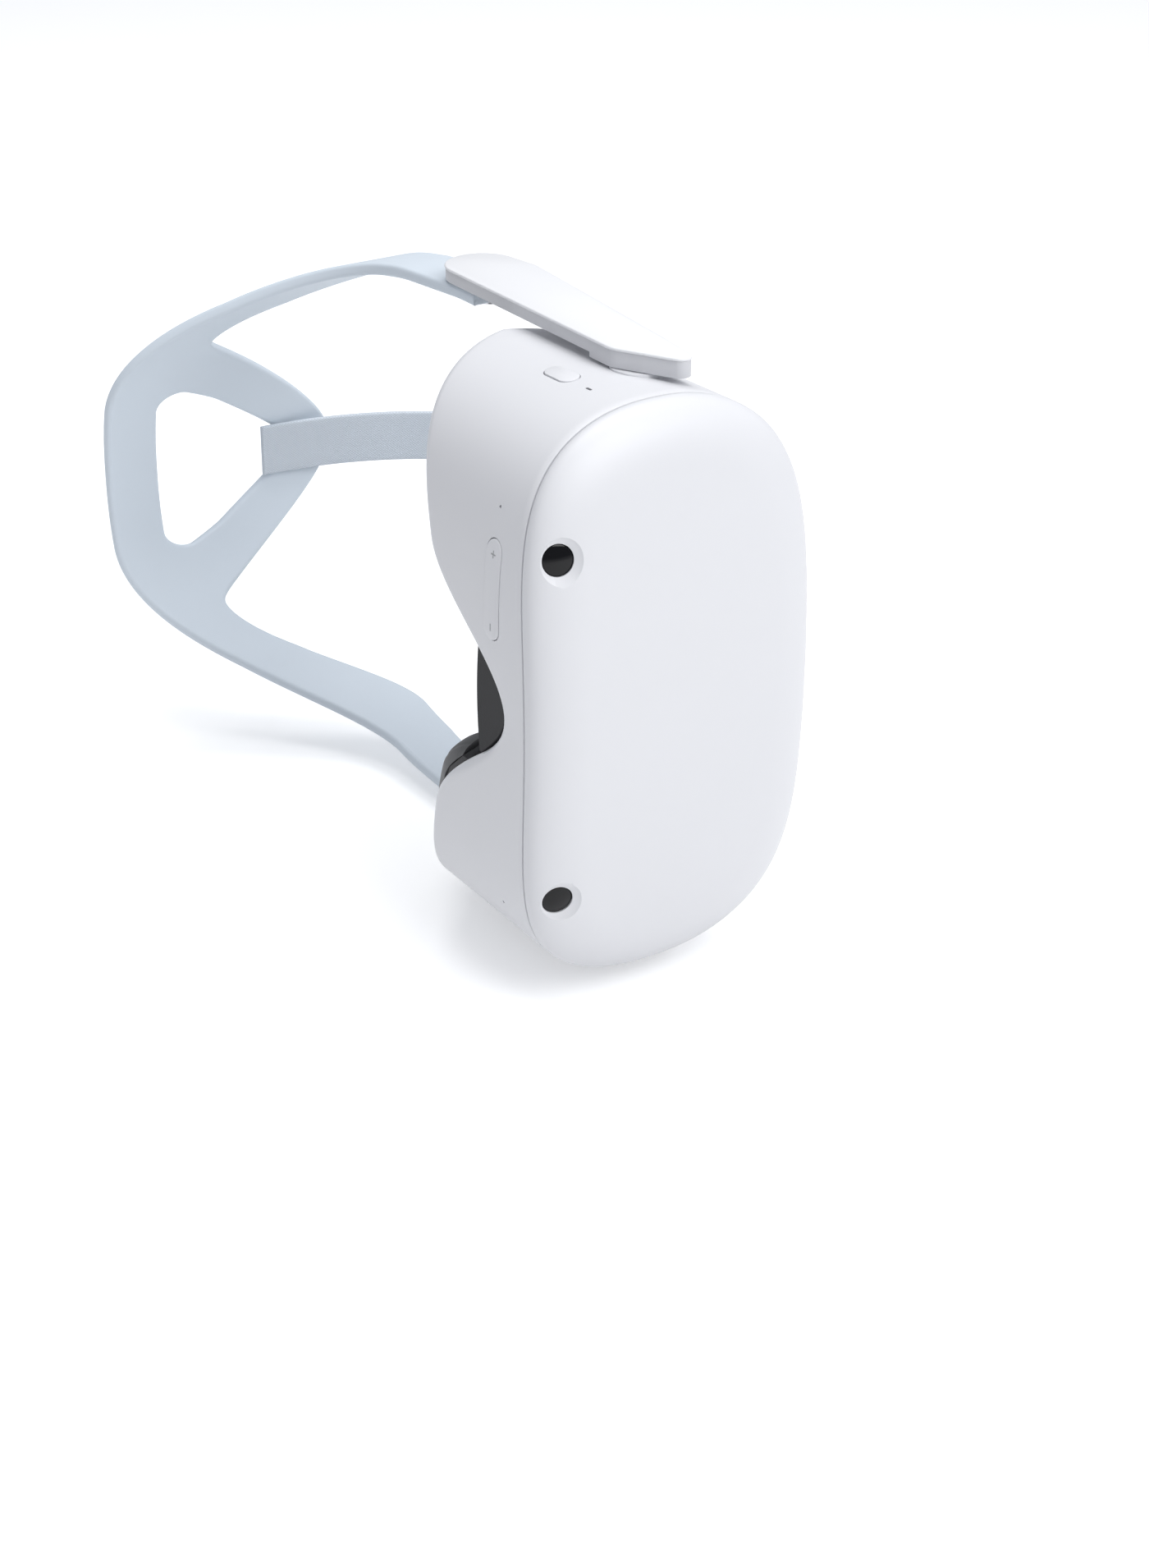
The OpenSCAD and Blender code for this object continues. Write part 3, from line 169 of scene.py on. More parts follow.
finishes = {  # slot of the record: colour and surface
    "shell": dict(color=(0.76, 0.765, 0.79), roughness=0.42, grain=0.10, grainSize=0.35, mottle=0.01),
    "arm": dict(color=(0.66, 0.665, 0.69), roughness=0.5, grain=0.12, grainSize=0.4, mottle=0.012),
    "arm_cover": dict(color=(0.86, 0.865, 0.885), roughness=0.4, grain=0.08, grainSize=0.35, mottle=0.01),
    "band": dict(color=(0.70, 0.77, 0.84), roughness=0.55, grain=0.15, grainSize=0.5, mottle=0.015,
                 subsurface=0.03),
    "foam": dict(color=(0.018, 0.018, 0.02), roughness=0.9, grain=0.5, grainSize=0.9, sheen=0.4),
    "face_frame": dict(color=(0.014, 0.014, 0.016), roughness=0.6, grain=0.3, grainSize=0.5),
    "flap": dict(color=(0.012, 0.012, 0.014), roughness=0.7, grain=0.35, grainSize=0.6),
    "cover": dict(color=(0.01, 0.01, 0.012), roughness=0.62, grain=0.3, grainSize=0.5),
    "window": dict(color=(0.002, 0.002, 0.003), roughness=0.09, mottle=0.1, specular=0.3),
    "seal": dict(color=(0.012, 0.012, 0.013), roughness=0.75, grain=0.2),
    "camera": dict(color=(0.02, 0.02, 0.022), roughness=0.45, grain=0.15),
    "chassis": dict(color=(0.07, 0.075, 0.085), roughness=0.6, grain=0.3, mottle=0.08),
    "board": dict(color=(0.008, 0.07, 0.035), roughness=0.35, grain=0.2, grainSize=1.2, mottle=0.1),
    "sink": dict(color=(0.6, 0.61, 0.64), roughness=0.35, metallic=1.0, grain=0.15),
    "battery": dict(color=(0.03, 0.03, 0.035), roughness=0.4, grain=0.2, grainSize=2.0),
    "fan": dict(color=(0.018, 0.018, 0.02), roughness=0.5, grain=0.2),
    "display": dict(color=(0.004, 0.004, 0.006), roughness=0.08, coat=0.6),
    "steel": dict(color=(0.62, 0.62, 0.64), roughness=0.3, metallic=1.0, grain=0.1),
    "gear": dict(color=(0.75, 0.73, 0.66), roughness=0.4, grain=0.1, subsurface=0.1),
    "barrel": dict(color=(0.008, 0.008, 0.009), roughness=0.55, grain=0.25),
    "light": dict(color=(0.14, 0.14, 0.15), roughness=0.3),
    "socket": dict(color=(0.55, 0.55, 0.57), roughness=0.25, metallic=1.0, grain=0.08),
    "jack": dict(color=(0.01, 0.01, 0.011), roughness=0.4, grain=0.15),
    "mic": dict(color=(0.05, 0.05, 0.055), roughness=0.6, grain=0.4, grainSize=0.3),
    "anchor": dict(color=(0.62, 0.63, 0.66), roughness=0.45, grain=0.12),
    "speaker": dict(color=(0.012, 0.012, 0.013), roughness=0.8, grain=0.6, grainSize=0.6),
}
for finishName, values in finishes.items():
    newMaterial(finishName, **values)
# painted shade: the grey of the plus and minus stands in for the shade in the rocker's moulded signs
newMaterial("mark", (0.36, 0.365, 0.38), roughness=0.6, grain=0.05)
lensGlass = newMaterial("lens", (0.93, 0.96, 0.97), roughness=0.05, mottle=0.0, transmission=1.0)
lensGlass.node_tree.nodes["Principled BSDF"].inputs["IOR"].default_value = 1.49
# woven materials: painted shade darkens the weave's hollows, to 0.82 of the colour on the strap and 0.6 on the grip
wovenMaterial("strap", (0.67, 0.73, 0.80), rib=(0.0011, 0.0009), strength=0.5)
wovenMaterial("grip", (0.24, 0.26, 0.29), rib=(0.0016, 0.0014), strength=0.9, hollowShade=0.6)
print("materials:", len(materials))


# Mesh helpers
def meshPiece(name, points, faces, material, smoothAngle=32):
    mesh = bpy.data.meshes.new(name)
    mesh.from_pydata([tuple(p) for p in np.asarray(points)], [], [tuple(int(i) for i in f) for f in faces])
    mesh.validate()
    mesh.shade_smooth()
    mesh.set_sharp_from_angle(angle=math.radians(smoothAngle))
    mesh.materials.append(materials[material])
    piece = bpy.data.objects.new(name, mesh)
    bpy.context.scene.collection.objects.link(piece)
    return piece


def ringFaces(first, second, count):
    faces = []
    for k in range(count):
        m = (k + 1) % count
        faces.append([first * count + k, first * count + m, second * count + m, second * count + k])
    return faces


def joinPieces(pieces):
    merged = bmesh.new()
    for piece in pieces:
        merged.from_mesh(piece.data)
    merged.to_mesh(pieces[0].data)
    merged.free()
    for piece in pieces[1:]:
        bpy.data.objects.remove(piece)
    return pieces[0]


def applyModifiers(piece):
    bpy.context.view_layer.update()
    evaluated = piece.evaluated_get(bpy.context.evaluated_depsgraph_get())
    mesh = bpy.data.meshes.new_from_object(evaluated)
    piece.modifiers.clear()
    old = piece.data
    piece.data = mesh
    mesh.name = piece.name
    bpy.data.meshes.remove(old)


def outward(piece):
    solid = bmesh.new()
    solid.from_mesh(piece.data)
    bmesh.ops.recalc_face_normals(solid, faces=solid.faces)
    solid.to_mesh(piece.data)
    solid.free()


def cutWith(piece, cutters, smoothAngle=32):
    for cutter in cutters:
        outward(cutter)
        mod = piece.modifiers.new("cut", "BOOLEAN")
        mod.operation = "DIFFERENCE"
        mod.solver = "MANIFOLD"
        mod.object = cutter
        applyModifiers(piece)
        bpy.data.objects.remove(cutter)
    piece.data.shade_smooth()
    piece.data.set_sharp_from_angle(angle=math.radians(smoothAngle))


def lathe(name, profile, pos, direction, material, steps=96):
    axis = Vector(direction).normalized()
    turn = axis.to_track_quat("Z", "Y").to_matrix()
    rings = []
    for k in range(steps):
        a = 2 * math.pi * k / steps
        rings.append([turn @ Vector((r * math.cos(a), r * math.sin(a), h)) + Vector(pos) for r, h in profile])
    count = len(profile)
    points = [tuple(p) for ring in rings for p in ring]
    faces = []
    for k in range(steps):
        m = (k + 1) % steps
        faces += [[k * count + i, m * count + i, m * count + i + 1, k * count + i + 1] for i in range(count - 1)]
    low, high = len(points), len(points) + 1
    points += [tuple(turn @ Vector((0, 0, profile[end][1])) + Vector(pos)) for end in (0, -1)]
    for k in range(steps):
        m = (k + 1) % steps
        faces += [[low, m * count, k * count], [high, k * count + count - 1, m * count + count - 1]]
    return meshPiece(name, inFrame(points), faces, material)


def slotPrism(name, centre, along, across, out, length, width, low, high, steps=48):
    along, across, out = Vector(along), Vector(across), Vector(out)
    edge = []
    for k in range(steps):
        a = 2 * math.pi * (k + 0.5) / steps
        shift = (length - width) / 2 * (1 if math.sin(a) > 0 else -1)
        edge.append(along * (shift + width / 2 * math.sin(a)) + across * (width / 2 * math.cos(a)))
    points = [Vector(centre) + e + out * h for h in (low, high) for e in edge]
    faces = ringFaces(0, 1, steps) + [list(range(steps - 1, -1, -1)), list(range(steps, 2 * steps))]
    return meshPiece(name, inFrame(points), faces, "shell")


def rowTree():  # copies of the object's own shape, evenly spaced along a line
    tree = bpy.data.node_groups.new("row", "GeometryNodeTree")
    inputs = {}
    for socketName, kind in (("Shape", "NodeSocketGeometry"), ("Count", "NodeSocketInt"), ("Start", "NodeSocketVector"),
                             ("Step", "NodeSocketVector"), ("Material", "NodeSocketMaterial")):
        inputs[socketName] = tree.interface.new_socket(name=socketName, in_out="INPUT", socket_type=kind).identifier
    tree.interface.new_socket(name="Row", in_out="OUTPUT", socket_type="NodeSocketGeometry")
    given = tree.nodes.new("NodeGroupInput")
    line = tree.nodes.new("GeometryNodeMeshLine")
    copies = tree.nodes.new("GeometryNodeInstanceOnPoints")
    real = tree.nodes.new("GeometryNodeRealizeInstances")
    paint = tree.nodes.new("GeometryNodeSetMaterial")
    result = tree.nodes.new("NodeGroupOutput")
    link = tree.links.new
    link(given.outputs["Count"], line.inputs["Count"])
    link(given.outputs["Start"], line.inputs["Start Location"])
    link(given.outputs["Step"], line.inputs["Offset"])
    link(line.outputs["Mesh"], copies.inputs["Points"])
    link(given.outputs["Shape"], copies.inputs["Instance"])
    link(copies.outputs["Instances"], real.inputs["Geometry"])
    link(real.outputs["Geometry"], paint.inputs["Geometry"])
    link(given.outputs["Material"], paint.inputs["Material"])
    link(paint.outputs["Geometry"], result.inputs["Row"])
    return tree, inputs


def repeatInRow(piece, count, step, material):
    tree, inputs = rowTree()
    mod = piece.modifiers.new("row", "NODES")
    mod.node_group = tree
    mod[inputs["Count"]] = count
    mod[inputs["Start"]] = tuple(-length * (count - 1) / 2 for length in step)
    mod[inputs["Step"]] = tuple(step)
    mod[inputs["Material"]] = materials[material]
    applyModifiers(piece)
    return piece


# Shared curves of the visor
visor = {"halfHeight": 48.75, "halfWidth": 89.25, "sidePower": 4.8, "browPower": 2.2, "seamBend": 0.0011, "wall": 2.0,
         "seamGap": 0.5, "plateEdge": 1.5, "plateRound": 8.5, "plateInset": 16.0, "plateCrown": 0.8,
         "cheekY": 49.0, "browY": 60.0, "templeY": 90.0, "noseDepth": 33.0, "noseHalfWidth": 44.0, "rimRound": 6.0,
         "cheekRise": 0.42, "browRise": 0.6, "noseRun": 20.0}


def outline(turn, inset=0.0):
    a, b = visor["halfHeight"] - inset, visor["halfWidth"] - inset
    s, c = np.sin(turn), np.cos(turn)
    x = -np.sign(c) * a * np.maximum(0, 1 - np.abs(s) ** visor["sidePower"]) ** (1 / visor["browPower"])
    return x, b * s


def outlineX(z, inset=0.0):
    a, b = visor["halfHeight"] - inset, visor["halfWidth"] - inset
    return a * max(0, 1 - abs(z / b) ** visor["sidePower"]) ** (1 / visor["browPower"])


def outlineZ(x, inset=0.0):
    a, b = visor["halfHeight"] - inset, visor["halfWidth"] - inset
    return b * max(0, 1 - abs(x / a) ** visor["browPower"]) ** (1 / visor["sidePower"])


def seamY(z):
    return visor["seamBend"] * np.asarray(z) ** 2


def rimY(x, z):
    x, z = np.asarray(x, float), np.asarray(z, float)
    v = np.maximum(0, 1 - np.abs(x) / visor["halfHeight"])
    base = np.where(x < 0, visor["cheekY"] + (visor["templeY"] - visor["cheekY"]) * v ** visor["cheekRise"],
                    visor["browY"] + (visor["templeY"] - visor["browY"]) * v ** visor["browRise"])
    u = np.clip(-x / visor["noseRun"], 0, 1)
    nose = visor["noseDepth"] * (1 + np.cos(np.pi * np.minimum(1, np.abs(z) / visor["noseHalfWidth"]))) / 2
    return base - np.where(x < 0, nose * u * u * (3 - 2 * u), 0)


def plateY(x, z, inset):
    c = 1 - np.minimum(1, inset / visor["plateInset"])
    depth = visor["plateEdge"] + visor["plateRound"] * np.sqrt(np.maximum(0, 1 - c * c))
    bulge = visor["plateCrown"] * np.maximum(0, 1 - (x / visor["halfHeight"]) ** 2 - (z / visor["halfWidth"]) ** 2)
    return seamY(z) - depth - bulge


ringCount = 360
ringTurns = 2 * np.pi * np.arange(ringCount) / ringCount

# Front plate
cameraPlaces = {"inset": 6.3, "z": 53.5, "tilt": 15.0, "radius": 4.6, "sunk": 1.7, "flare": 1.3, "gap": 0.1,
                "browZ": 57.0, "browY": 13.0, "browSunk": 0.8, "browInset": 0.15, "deep": 9.0, "lip": 0.25,
                "flareHigh": 6.0}
plateShares = (0.15, 0.3, 0.45, 0.6, 0.75, 0.9)  # rows between the middle and the rounded edge
edgeSoft = ((0.0, 0.35), (0.12, 0.1), (0.4, 0.0))  # inset and drop of the rows that soften an edge at the seam


def plateRows(inner):
    rows = []
    for share in plateShares:
        x, z = outline(ringTurns, visor["plateInset"] + inner)
        x, z = x * share, z * share
        rows.append(np.stack([x, plateY(x, z, visor["plateInset"]) + inner, z], 1))
    for c in np.linspace(90, 0, 25):
        e = visor["plateInset"] * (1 - math.cos(math.radians(c)))
        x, z = outline(ringTurns, e + inner)
        rows.append(np.stack([x, plateY(x, z, e) + inner, z], 1))
    for inset, drop in ((inner, 0.0),) if inner else edgeSoft:
        x, z = outline(ringTurns, inset)
        rows.append(np.stack([x, seamY(z) - visor["seamGap"] / 2 - drop, z], 1))
    return rows


def cameraAim(side, up):
    if up:
        z = cameraPlaces["browZ"]
        x = outlineX(z, cameraPlaces["browInset"])
        pos = Vector((x, cameraPlaces["browY"], side * z))
    else:
        z = cameraPlaces["z"]
        x = -outlineX(z, cameraPlaces["inset"])
        pos = Vector((x, float(plateY(x, z, cameraPlaces["inset"])), side * z))
    full = outlineX(z)
    gx = visor["browPower"] * (full / visor["halfHeight"]) ** (visor["browPower"] - 1) / visor["halfHeight"]
    gz = visor["sidePower"] * (z / visor["halfWidth"]) ** (visor["sidePower"] - 1) / visor["halfWidth"]
    g = math.hypot(gx, gz)
    if up:
        return pos, Vector((gx / g, 0, side * gz / g))
    tilt = math.radians(cameraPlaces["tilt"])
    return pos, Vector((-math.sin(tilt) * gx / g, -math.cos(tilt),
                        side * (math.sin(tilt) * gz / g + 2 * visor["seamBend"] * z * math.cos(tilt))))


def cameraCutter(side, up):
    pos, direction = cameraAim(side, up)
    hole = cameraPlaces["radius"] + cameraPlaces["gap"]
    mouth, high = cameraPlaces["radius"] + cameraPlaces["lip"], cameraPlaces["flareHigh"]
    sunk = cameraPlaces["browSunk" if up else "sunk"]
    profile = [(hole, -cameraPlaces["deep"]), (hole, -sunk), (mouth, -sunk),
               (mouth + high * cameraPlaces["flare"], high - sunk)]
    return lathe("cameraCutter", profile, pos, direction, "shell")


outer, inner = plateRows(0.0), plateRows(visor["wall"])
rows = outer + inner[::-1]
points = np.concatenate(rows)
faces = []
for i in range(len(rows) - 1):
    faces += ringFaces(i + 1, i, ringCount)
middleY = float(plateY(0.0, 0.0, visor["plateInset"]))
tips = np.array([[0, middleY, 0], [0, middleY + visor["wall"], 0]])
first, last = len(points), len(points) + 1
points = np.concatenate([points, tips])
faces += [[k, (k + 1) % ringCount, first] for k in range(ringCount)]
base = (len(rows) - 1) * ringCount
faces += [[base + (k + 1) % ringCount, base + k, last] for k in range(ringCount)]
frontPlate = meshPiece("frontPlate", inFrame(points), faces, "shell", 40)
outward(frontPlate)
cutWith(frontPlate, [cameraCutter(side, False) for side in (1, -1)], 40)
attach(frontPlate, "visor")
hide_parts("front_plate")
print("front plate:", len(frontPlate.data.polygons))

# Camera windows: domes with a fine bevel
windowShape = {"thickness": 3.0, "dome": 0.6, "back": 0.3, "bevel": 0.15, "steps": 72,
               "shares": (0.93, 0.85, 0.75, 0.62, 0.5, 0.36, 0.22, 0.1, 0.03)}
windowPieces = []
for up in (False, True):
    for side in (1, -1):
        pos, direction = cameraAim(side, up)
        r, sunk = cameraPlaces["radius"], cameraPlaces["browSunk" if up else "sunk"]
        back = -(sunk + windowShape["back"] + windowShape["thickness"])
        top = back + windowShape["thickness"]
        domeR = (r * r + windowShape["dome"] ** 2) / 2 / windowShape["dome"]
        profile = [(r, back), (r, top - windowShape["bevel"]), (r - windowShape["bevel"], top)]
        for share in windowShape["shares"]:
            x = (r - windowShape["bevel"]) * share
            profile.append((x, top + windowShape["dome"] - domeR + math.sqrt(domeR ** 2 - x * x)))
        windowPieces.append(lathe("cameraWindows", profile, pos, direction, "window", windowShape["steps"]))
cameraWindows = joinPieces(windowPieces)
outward(cameraWindows)
cameraWindows.data.shade_smooth()
cameraWindows.data.set_sharp_from_angle(angle=math.radians(60))
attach(cameraWindows, "visor")
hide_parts("camera_windows")
print("camera windows:", len(windowPieces))

# Main shell
shellCuts = {"rockerY": 17.4, "rockerZ": 39.0, "rockerLength": 30.0, "rockerWidth": 7.6, "gap": 0.3,
             "powerX": -9.2, "powerY": 40.6, "powerLength": 13.0, "powerWidth": 6.6,
             "lightX": -10.0, "lightY": 25.8, "lightLength": 2.6, "lightWidth": 0.8,
             "usbX": -10.0, "usbY": 38.0, "usbLength": 10.8, "usbWidth": 5.0,
             "jackX": -13.0, "jackY": 58.0, "jackRadius": 3.3, "micRadius": 0.5,
             "ventY": 30.0, "ventLength": 11.0, "ventWidth": 2.0, "ventStep": 7.0, "ventCount": 9,
             "anchorY": 40.0, "anchorLength": 9.6, "anchorWidth": 24.6, "baseRadius": 9.6,
             "baseFrom": -13.0, "baseTo": 7.0, "through": 6.0, "sideIn": 5.0, "sideThrough": 10.0, "portThrough": 8.0,
             "micThrough": 4.5, "lightGap": 0.05}
microphones = ((-1, 62.7, 18.7), (-1, -62.7, 18.7), (1, 30.0, 20.0))  # lower or upper wall, Z, Y
boxFaces = [[0, 1, 3, 2], [4, 6, 7, 5], [0, 4, 5, 1], [2, 3, 7, 6], [0, 2, 6, 4], [1, 5, 7, 3]]


def shellRow(f, back, inset):
    qx, qz = outline(ringTurns)
    px, pz = outline(ringTurns, inset)
    y0 = seamY(qz) + visor["seamGap"] / 2
    y1 = rimY(qx, qz) - visor["rimRound"]
    return np.stack([px, y0 + (y1 - y0) * f + back, pz], 1)


roll, wall = visor["rimRound"], visor["wall"]
rows = [shellRow(0, drop, inset) for inset, drop in reversed(edgeSoft)]
rows += [shellRow(f, 0, f) for f in np.linspace(0.05, 0.95, 14)]  # the wall narrows by 1 mm towards the rim
rows += [shellRow(1, (roll - 0.5) * math.sin(c), 1 + (roll - 1) * (1 - math.cos(c)))
         for c in np.radians(np.linspace(0, 90, 13))]
rows += [shellRow(1, roll - 0.5, roll + wall - 0.3), shellRow(1, roll - 0.8, roll + wall)]
rows += [shellRow(1, (roll - wall) * math.sin(c), roll + wall - 0.6 - (roll - wall - 1) * math.cos(c))
         for c in np.radians(np.linspace(75, 15, 5))]
rows += [shellRow(f, 0, f + wall) for f in (0.85, 0.7, 0.5, 0.3, 0.15, 0)]  # back along the inner face
faces = []
for i in range(len(rows)):
    faces += ringFaces((i + 1) % len(rows), i, ringCount)
mainShell = meshPiece("mainShell", inFrame(np.concatenate(rows)), faces, "shell", 40)
outward(mainShell)

halfHeight, halfWidth = visor["halfHeight"], visor["halfWidth"]
upWay, backWay, sideWay = (1, 0, 0), (0, 1, 0), (0, 0, 1)  # the headset's own X, Y and Z
cuts, through = shellCuts, shellCuts["through"]
cutters = [cameraCutter(side, True) for side in (1, -1)]
cutters.append(slotPrism("rocker", (-halfHeight, cuts["rockerY"], cuts["rockerZ"]), sideWay, backWay, upWay,
                         cuts["rockerLength"] + 2 * cuts["gap"], cuts["rockerWidth"] + 2 * cuts["gap"],
                         -through, through))
cutters.append(slotPrism("power", (cuts["powerX"], cuts["powerY"], halfWidth - cuts["sideIn"]),
                         backWay, upWay, sideWay, cuts["powerLength"] + 2 * cuts["gap"],
                         cuts["powerWidth"] + 2 * cuts["gap"], 0, cuts["sideThrough"]))
cutters.append(slotPrism("light", (cuts["lightX"], cuts["lightY"], halfWidth - cuts["sideIn"]),
                         backWay, upWay, sideWay, cuts["lightLength"] + 2 * cuts["lightGap"],
                         cuts["lightWidth"] + 2 * cuts["lightGap"], 0, cuts["sideThrough"]))
cutters.append(slotPrism("usb", (cuts["usbX"], cuts["usbY"], -halfWidth - 1), backWay, upWay, sideWay,
                         cuts["usbLength"], cuts["usbWidth"], 0, cuts["portThrough"]))
cutters.append(lathe("jack", [(cuts["jackRadius"], 0), (cuts["jackRadius"], cuts["portThrough"])],
                     (cuts["jackX"], cuts["jackY"], -halfWidth - 1), sideWay, "shell"))
micProfile = [(cuts["micRadius"], -cuts["micThrough"]), (cuts["micRadius"], cuts["micThrough"])]
for up, z, y in microphones:
    cutters.append(lathe("mic", micProfile, (up * outlineX(z), y, z), upWay, "shell", 32))
vent = slotPrism("vents", (halfHeight, cuts["ventY"], 0), backWay, sideWay, upWay,
                 cuts["ventLength"], cuts["ventWidth"], -through, through)
cutters.append(repeatInRow(vent, cuts["ventCount"], (0, 0, cuts["ventStep"] / 1000), "shell"))
box = [(halfHeight + x, cuts["anchorY"] + y * cuts["anchorLength"] / 2, z * cuts["anchorWidth"] / 2)
       for x in (-through, through) for y in (-1, 1) for z in (-1, 1)]
cutters.append(meshPiece("anchorHole", inFrame(box), boxFaces, "shell"))
baseProfile = [(cuts["baseRadius"], cuts["baseFrom"]), (cuts["baseRadius"], cuts["baseTo"])]
for side in (1, -1):
    basePlace = (hingeAxis["x"], hingeAxis["y"], side * halfWidth)
    cutters.append(lathe("base", baseProfile, basePlace, (0, 0, side), "shell"))
cutWith(mainShell, cutters, 40)
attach(mainShell, "visor")
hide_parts("shell_upper", "shell_lower")
print("main shell:", len(mainShell.data.polygons))


# Carried-over solids: merged copies with soft edges
softEdges = {"mergeAt": 2e-6, "flatAngle": 0.6, "cornerAngle": 30, "shadeAngle": 36, "segments": 2}


def dressNode(node, edge):
    mesh = nodes[node].data.copy()
    mesh.name = node + "Dressed"
    solid = bmesh.new()
    solid.from_mesh(mesh)
    bmesh.ops.remove_doubles(solid, verts=solid.verts, dist=softEdges["mergeAt"])
    bmesh.ops.dissolve_limit(solid, angle_limit=math.radians(softEdges["flatAngle"]),
                             verts=solid.verts, edges=solid.edges)
    solid.to_mesh(mesh)
    solid.free()
    piece = bpy.data.objects.new(node + "Dressed", mesh)
    bpy.context.scene.collection.objects.link(piece)
    mod = piece.modifiers.new("edges", "BEVEL")
    mod.width = edge / 1000
    mod.segments = softEdges["segments"]
    mod.limit_method = "ANGLE"
    mod.angle_limit = math.radians(softEdges["cornerAngle"])
    mod.harden_normals = False
    applyModifiers(piece)
    piece.data.shade_smooth()
    piece.data.set_sharp_from_angle(angle=math.radians(softEdges["shadeAngle"]))
    piece.data.materials.clear()
    piece.data.materials.append(materials[slotOf[node]])
    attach(piece, bodyOf[node])
    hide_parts(node)


slotOf = {part["node"]: part["material_slot"] for part in frame["record"]["subparts"]}
bodyOf = {n: body for body, held in frame["record"]["behaviour"]["bodies"].items() for n in held}

for node, piece in nodes.items():  # every node keeps its solid and gets its finish
    piece.data.materials.clear()
    piece.data.materials.append(materials[slotOf[node]])

dressed = {  # node: width of its soft edge
    "volume_rocker": 0.35, "power_button": 0.35, "status_light": 0.1, "strap_anchor": 0.5,
    "arm_right": 0.5, "arm_left": 0.5, "arm_cover_right": 0.4, "arm_cover_left": 0.4,
    "hinge_base_right": 0.2, "hinge_base_left": 0.2, "strap_studs": 0.2, "lens_cover": 0.3,
    "headphone_socket": 0.15, "usb_c_socket": 0.1, "face_frame": 0.2}
for node, edge in dressed.items():
    dressNode(node, edge)
print("dressed nodes:", len(dressed))

# Plus and minus on the volume rocker, coloured darker grey as painted shade of the moulded signs
marks = {"plusZ": 49.6, "minusZ": 27.8, "length": 2.2, "width": 0.36, "proud": 0.05, "sunk": 0.3, "apart": 1e-5}
barFaces = [[0, 1, 2, 3], [4, 7, 6, 5], [0, 4, 5, 1], [1, 5, 6, 2], [2, 6, 7, 3], [3, 7, 4, 0]]


def markBar(name, z, length, width):
    corners = []
    for inset in (marks["sunk"], -marks["proud"]):
        for dz, dy in ((-1, -1), (-1, 1), (1, 1), (1, -1)):
            along = z + dz * length / 2
            corners.append((-outlineX(along, inset), shellCuts["rockerY"] + dy * width / 2, along))
    bar = meshPiece(name, inFrame(corners), barFaces, "mark")
    outward(bar)
    return bar


bars = [markBar("volumeMarks", marks["plusZ"], marks["length"], marks["width"]),
        markBar("plusUp", marks["plusZ"], marks["width"], marks["length"]),
        markBar("minus", marks["minusZ"], marks["length"], marks["width"])]
bars[1].data.transform(Matrix.Translation((-marks["apart"], 0, 0)))  # the plus sign's two bars don't share a face
volumeMarks = joinPieces(bars)
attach(volumeMarks, "volume_rocker")

# Head band: drawn flat as a length s and a height x, then bent round the head
band = {"rearY": 252.0, "earY": 120.0, "sideY": 150.0, "power": 2.35, "halfWidth": 88.0, "tabZ": 90.95,
        "flareY": 166.0, "flareRun": 44.0, "thickness": 4.0, "length": 188.75, "lowX": -59.0, "tabLowX": 5.3,
        "tabHighX": 24.0, "crotchX": -27.0, "crotchBend": 4.0, "loopTopX": 28.0, "legSlope": 1.5, "legBend": 20.0,
        "lowFrom": 25.0, "lowRun": 110.0, "topFrom": 46.0, "topRun": 72.0, "tabRise": 3.0, "tabFrom": 130.0,
        "tabRun": 50.0, "holeLowX": -40.2, "holeTopX": 12.0, "holeHalf": 29.5, "holeRound": 6.5, "holeMidX": -31.5,
        "holeSlope": 1.55, "holeBend": 5.0, "edgeRound": 1.3, "studR": 2.0, "studIn": 5.5, "studGap": 0.3}


def bandPlan():
    angle = np.radians(np.linspace(0, 90, 361))
    deep = band["rearY"] - band["earY"]
    y = band["earY"] + deep * np.maximum(np.cos(angle), 0) ** (2 / band["power"])
    u = np.maximum(0, y - band["sideY"]) / (band["rearY"] - band["sideY"])
    z = band["halfWidth"] * np.maximum(np.sin(angle) ** (2 / band["power"]), np.sqrt(np.maximum(0, 1 - u * u)))
    y = np.concatenate([y, band["earY"] - np.arange(1, 13)])
    z = np.concatenate([z, np.full(12, band["halfWidth"])])
    z = z + (band["tabZ"] - band["halfWidth"]) * np.clip((band["flareY"] - y) / band["flareRun"], 0, 1)
    run = np.concatenate([[0], np.cumsum(np.hypot(np.diff(y), np.diff(z)))])
    return run, y, z


bandRun, bandY, bandZ = bandPlan()


def track(s):
    s = np.asarray(s, float)
    return np.interp(np.abs(s), bandRun, bandY), np.sign(s) * np.interp(np.abs(s), bandRun, bandZ)


def onBand(s, x, depth):  # a point s along the band, at height x, and depth in from its outer face
    y, z = track(s)
    y1, z1 = track(np.asarray(s) + 2.0)
    y0, z0 = track(np.asarray(s) - 2.0)
    dy, dz = y1 - y0, z1 - z0
    length = np.hypot(dy, dz)
    return np.stack([x, y + depth * -dz / length, z + depth * dy / length], -1)


def smoothStep(t):
    u = np.clip(t, 0, 1)
    return u * u * (3 - 2 * u)


def bandLow(s):
    rise = smoothStep((s - band["lowFrom"]) / band["lowRun"])
    return band["lowX"] + (band["tabLowX"] - band["lowX"]) * rise


def bandTop(s):
    rise = smoothStep((s - band["topFrom"]) / band["topRun"])
    settle = smoothStep((s - band["tabFrom"]) / band["tabRun"])
    full = band["tabHighX"] + band["tabRise"] - band["crotchX"]
    side = band["crotchX"] + full * rise - band["tabRise"] * settle
    leg = band["loopTopX"] - band["legSlope"] * (np.hypot(s, band["legBend"]) - band["legBend"])
    return (side + leg + np.hypot(side - leg, band["crotchBend"])) / 2


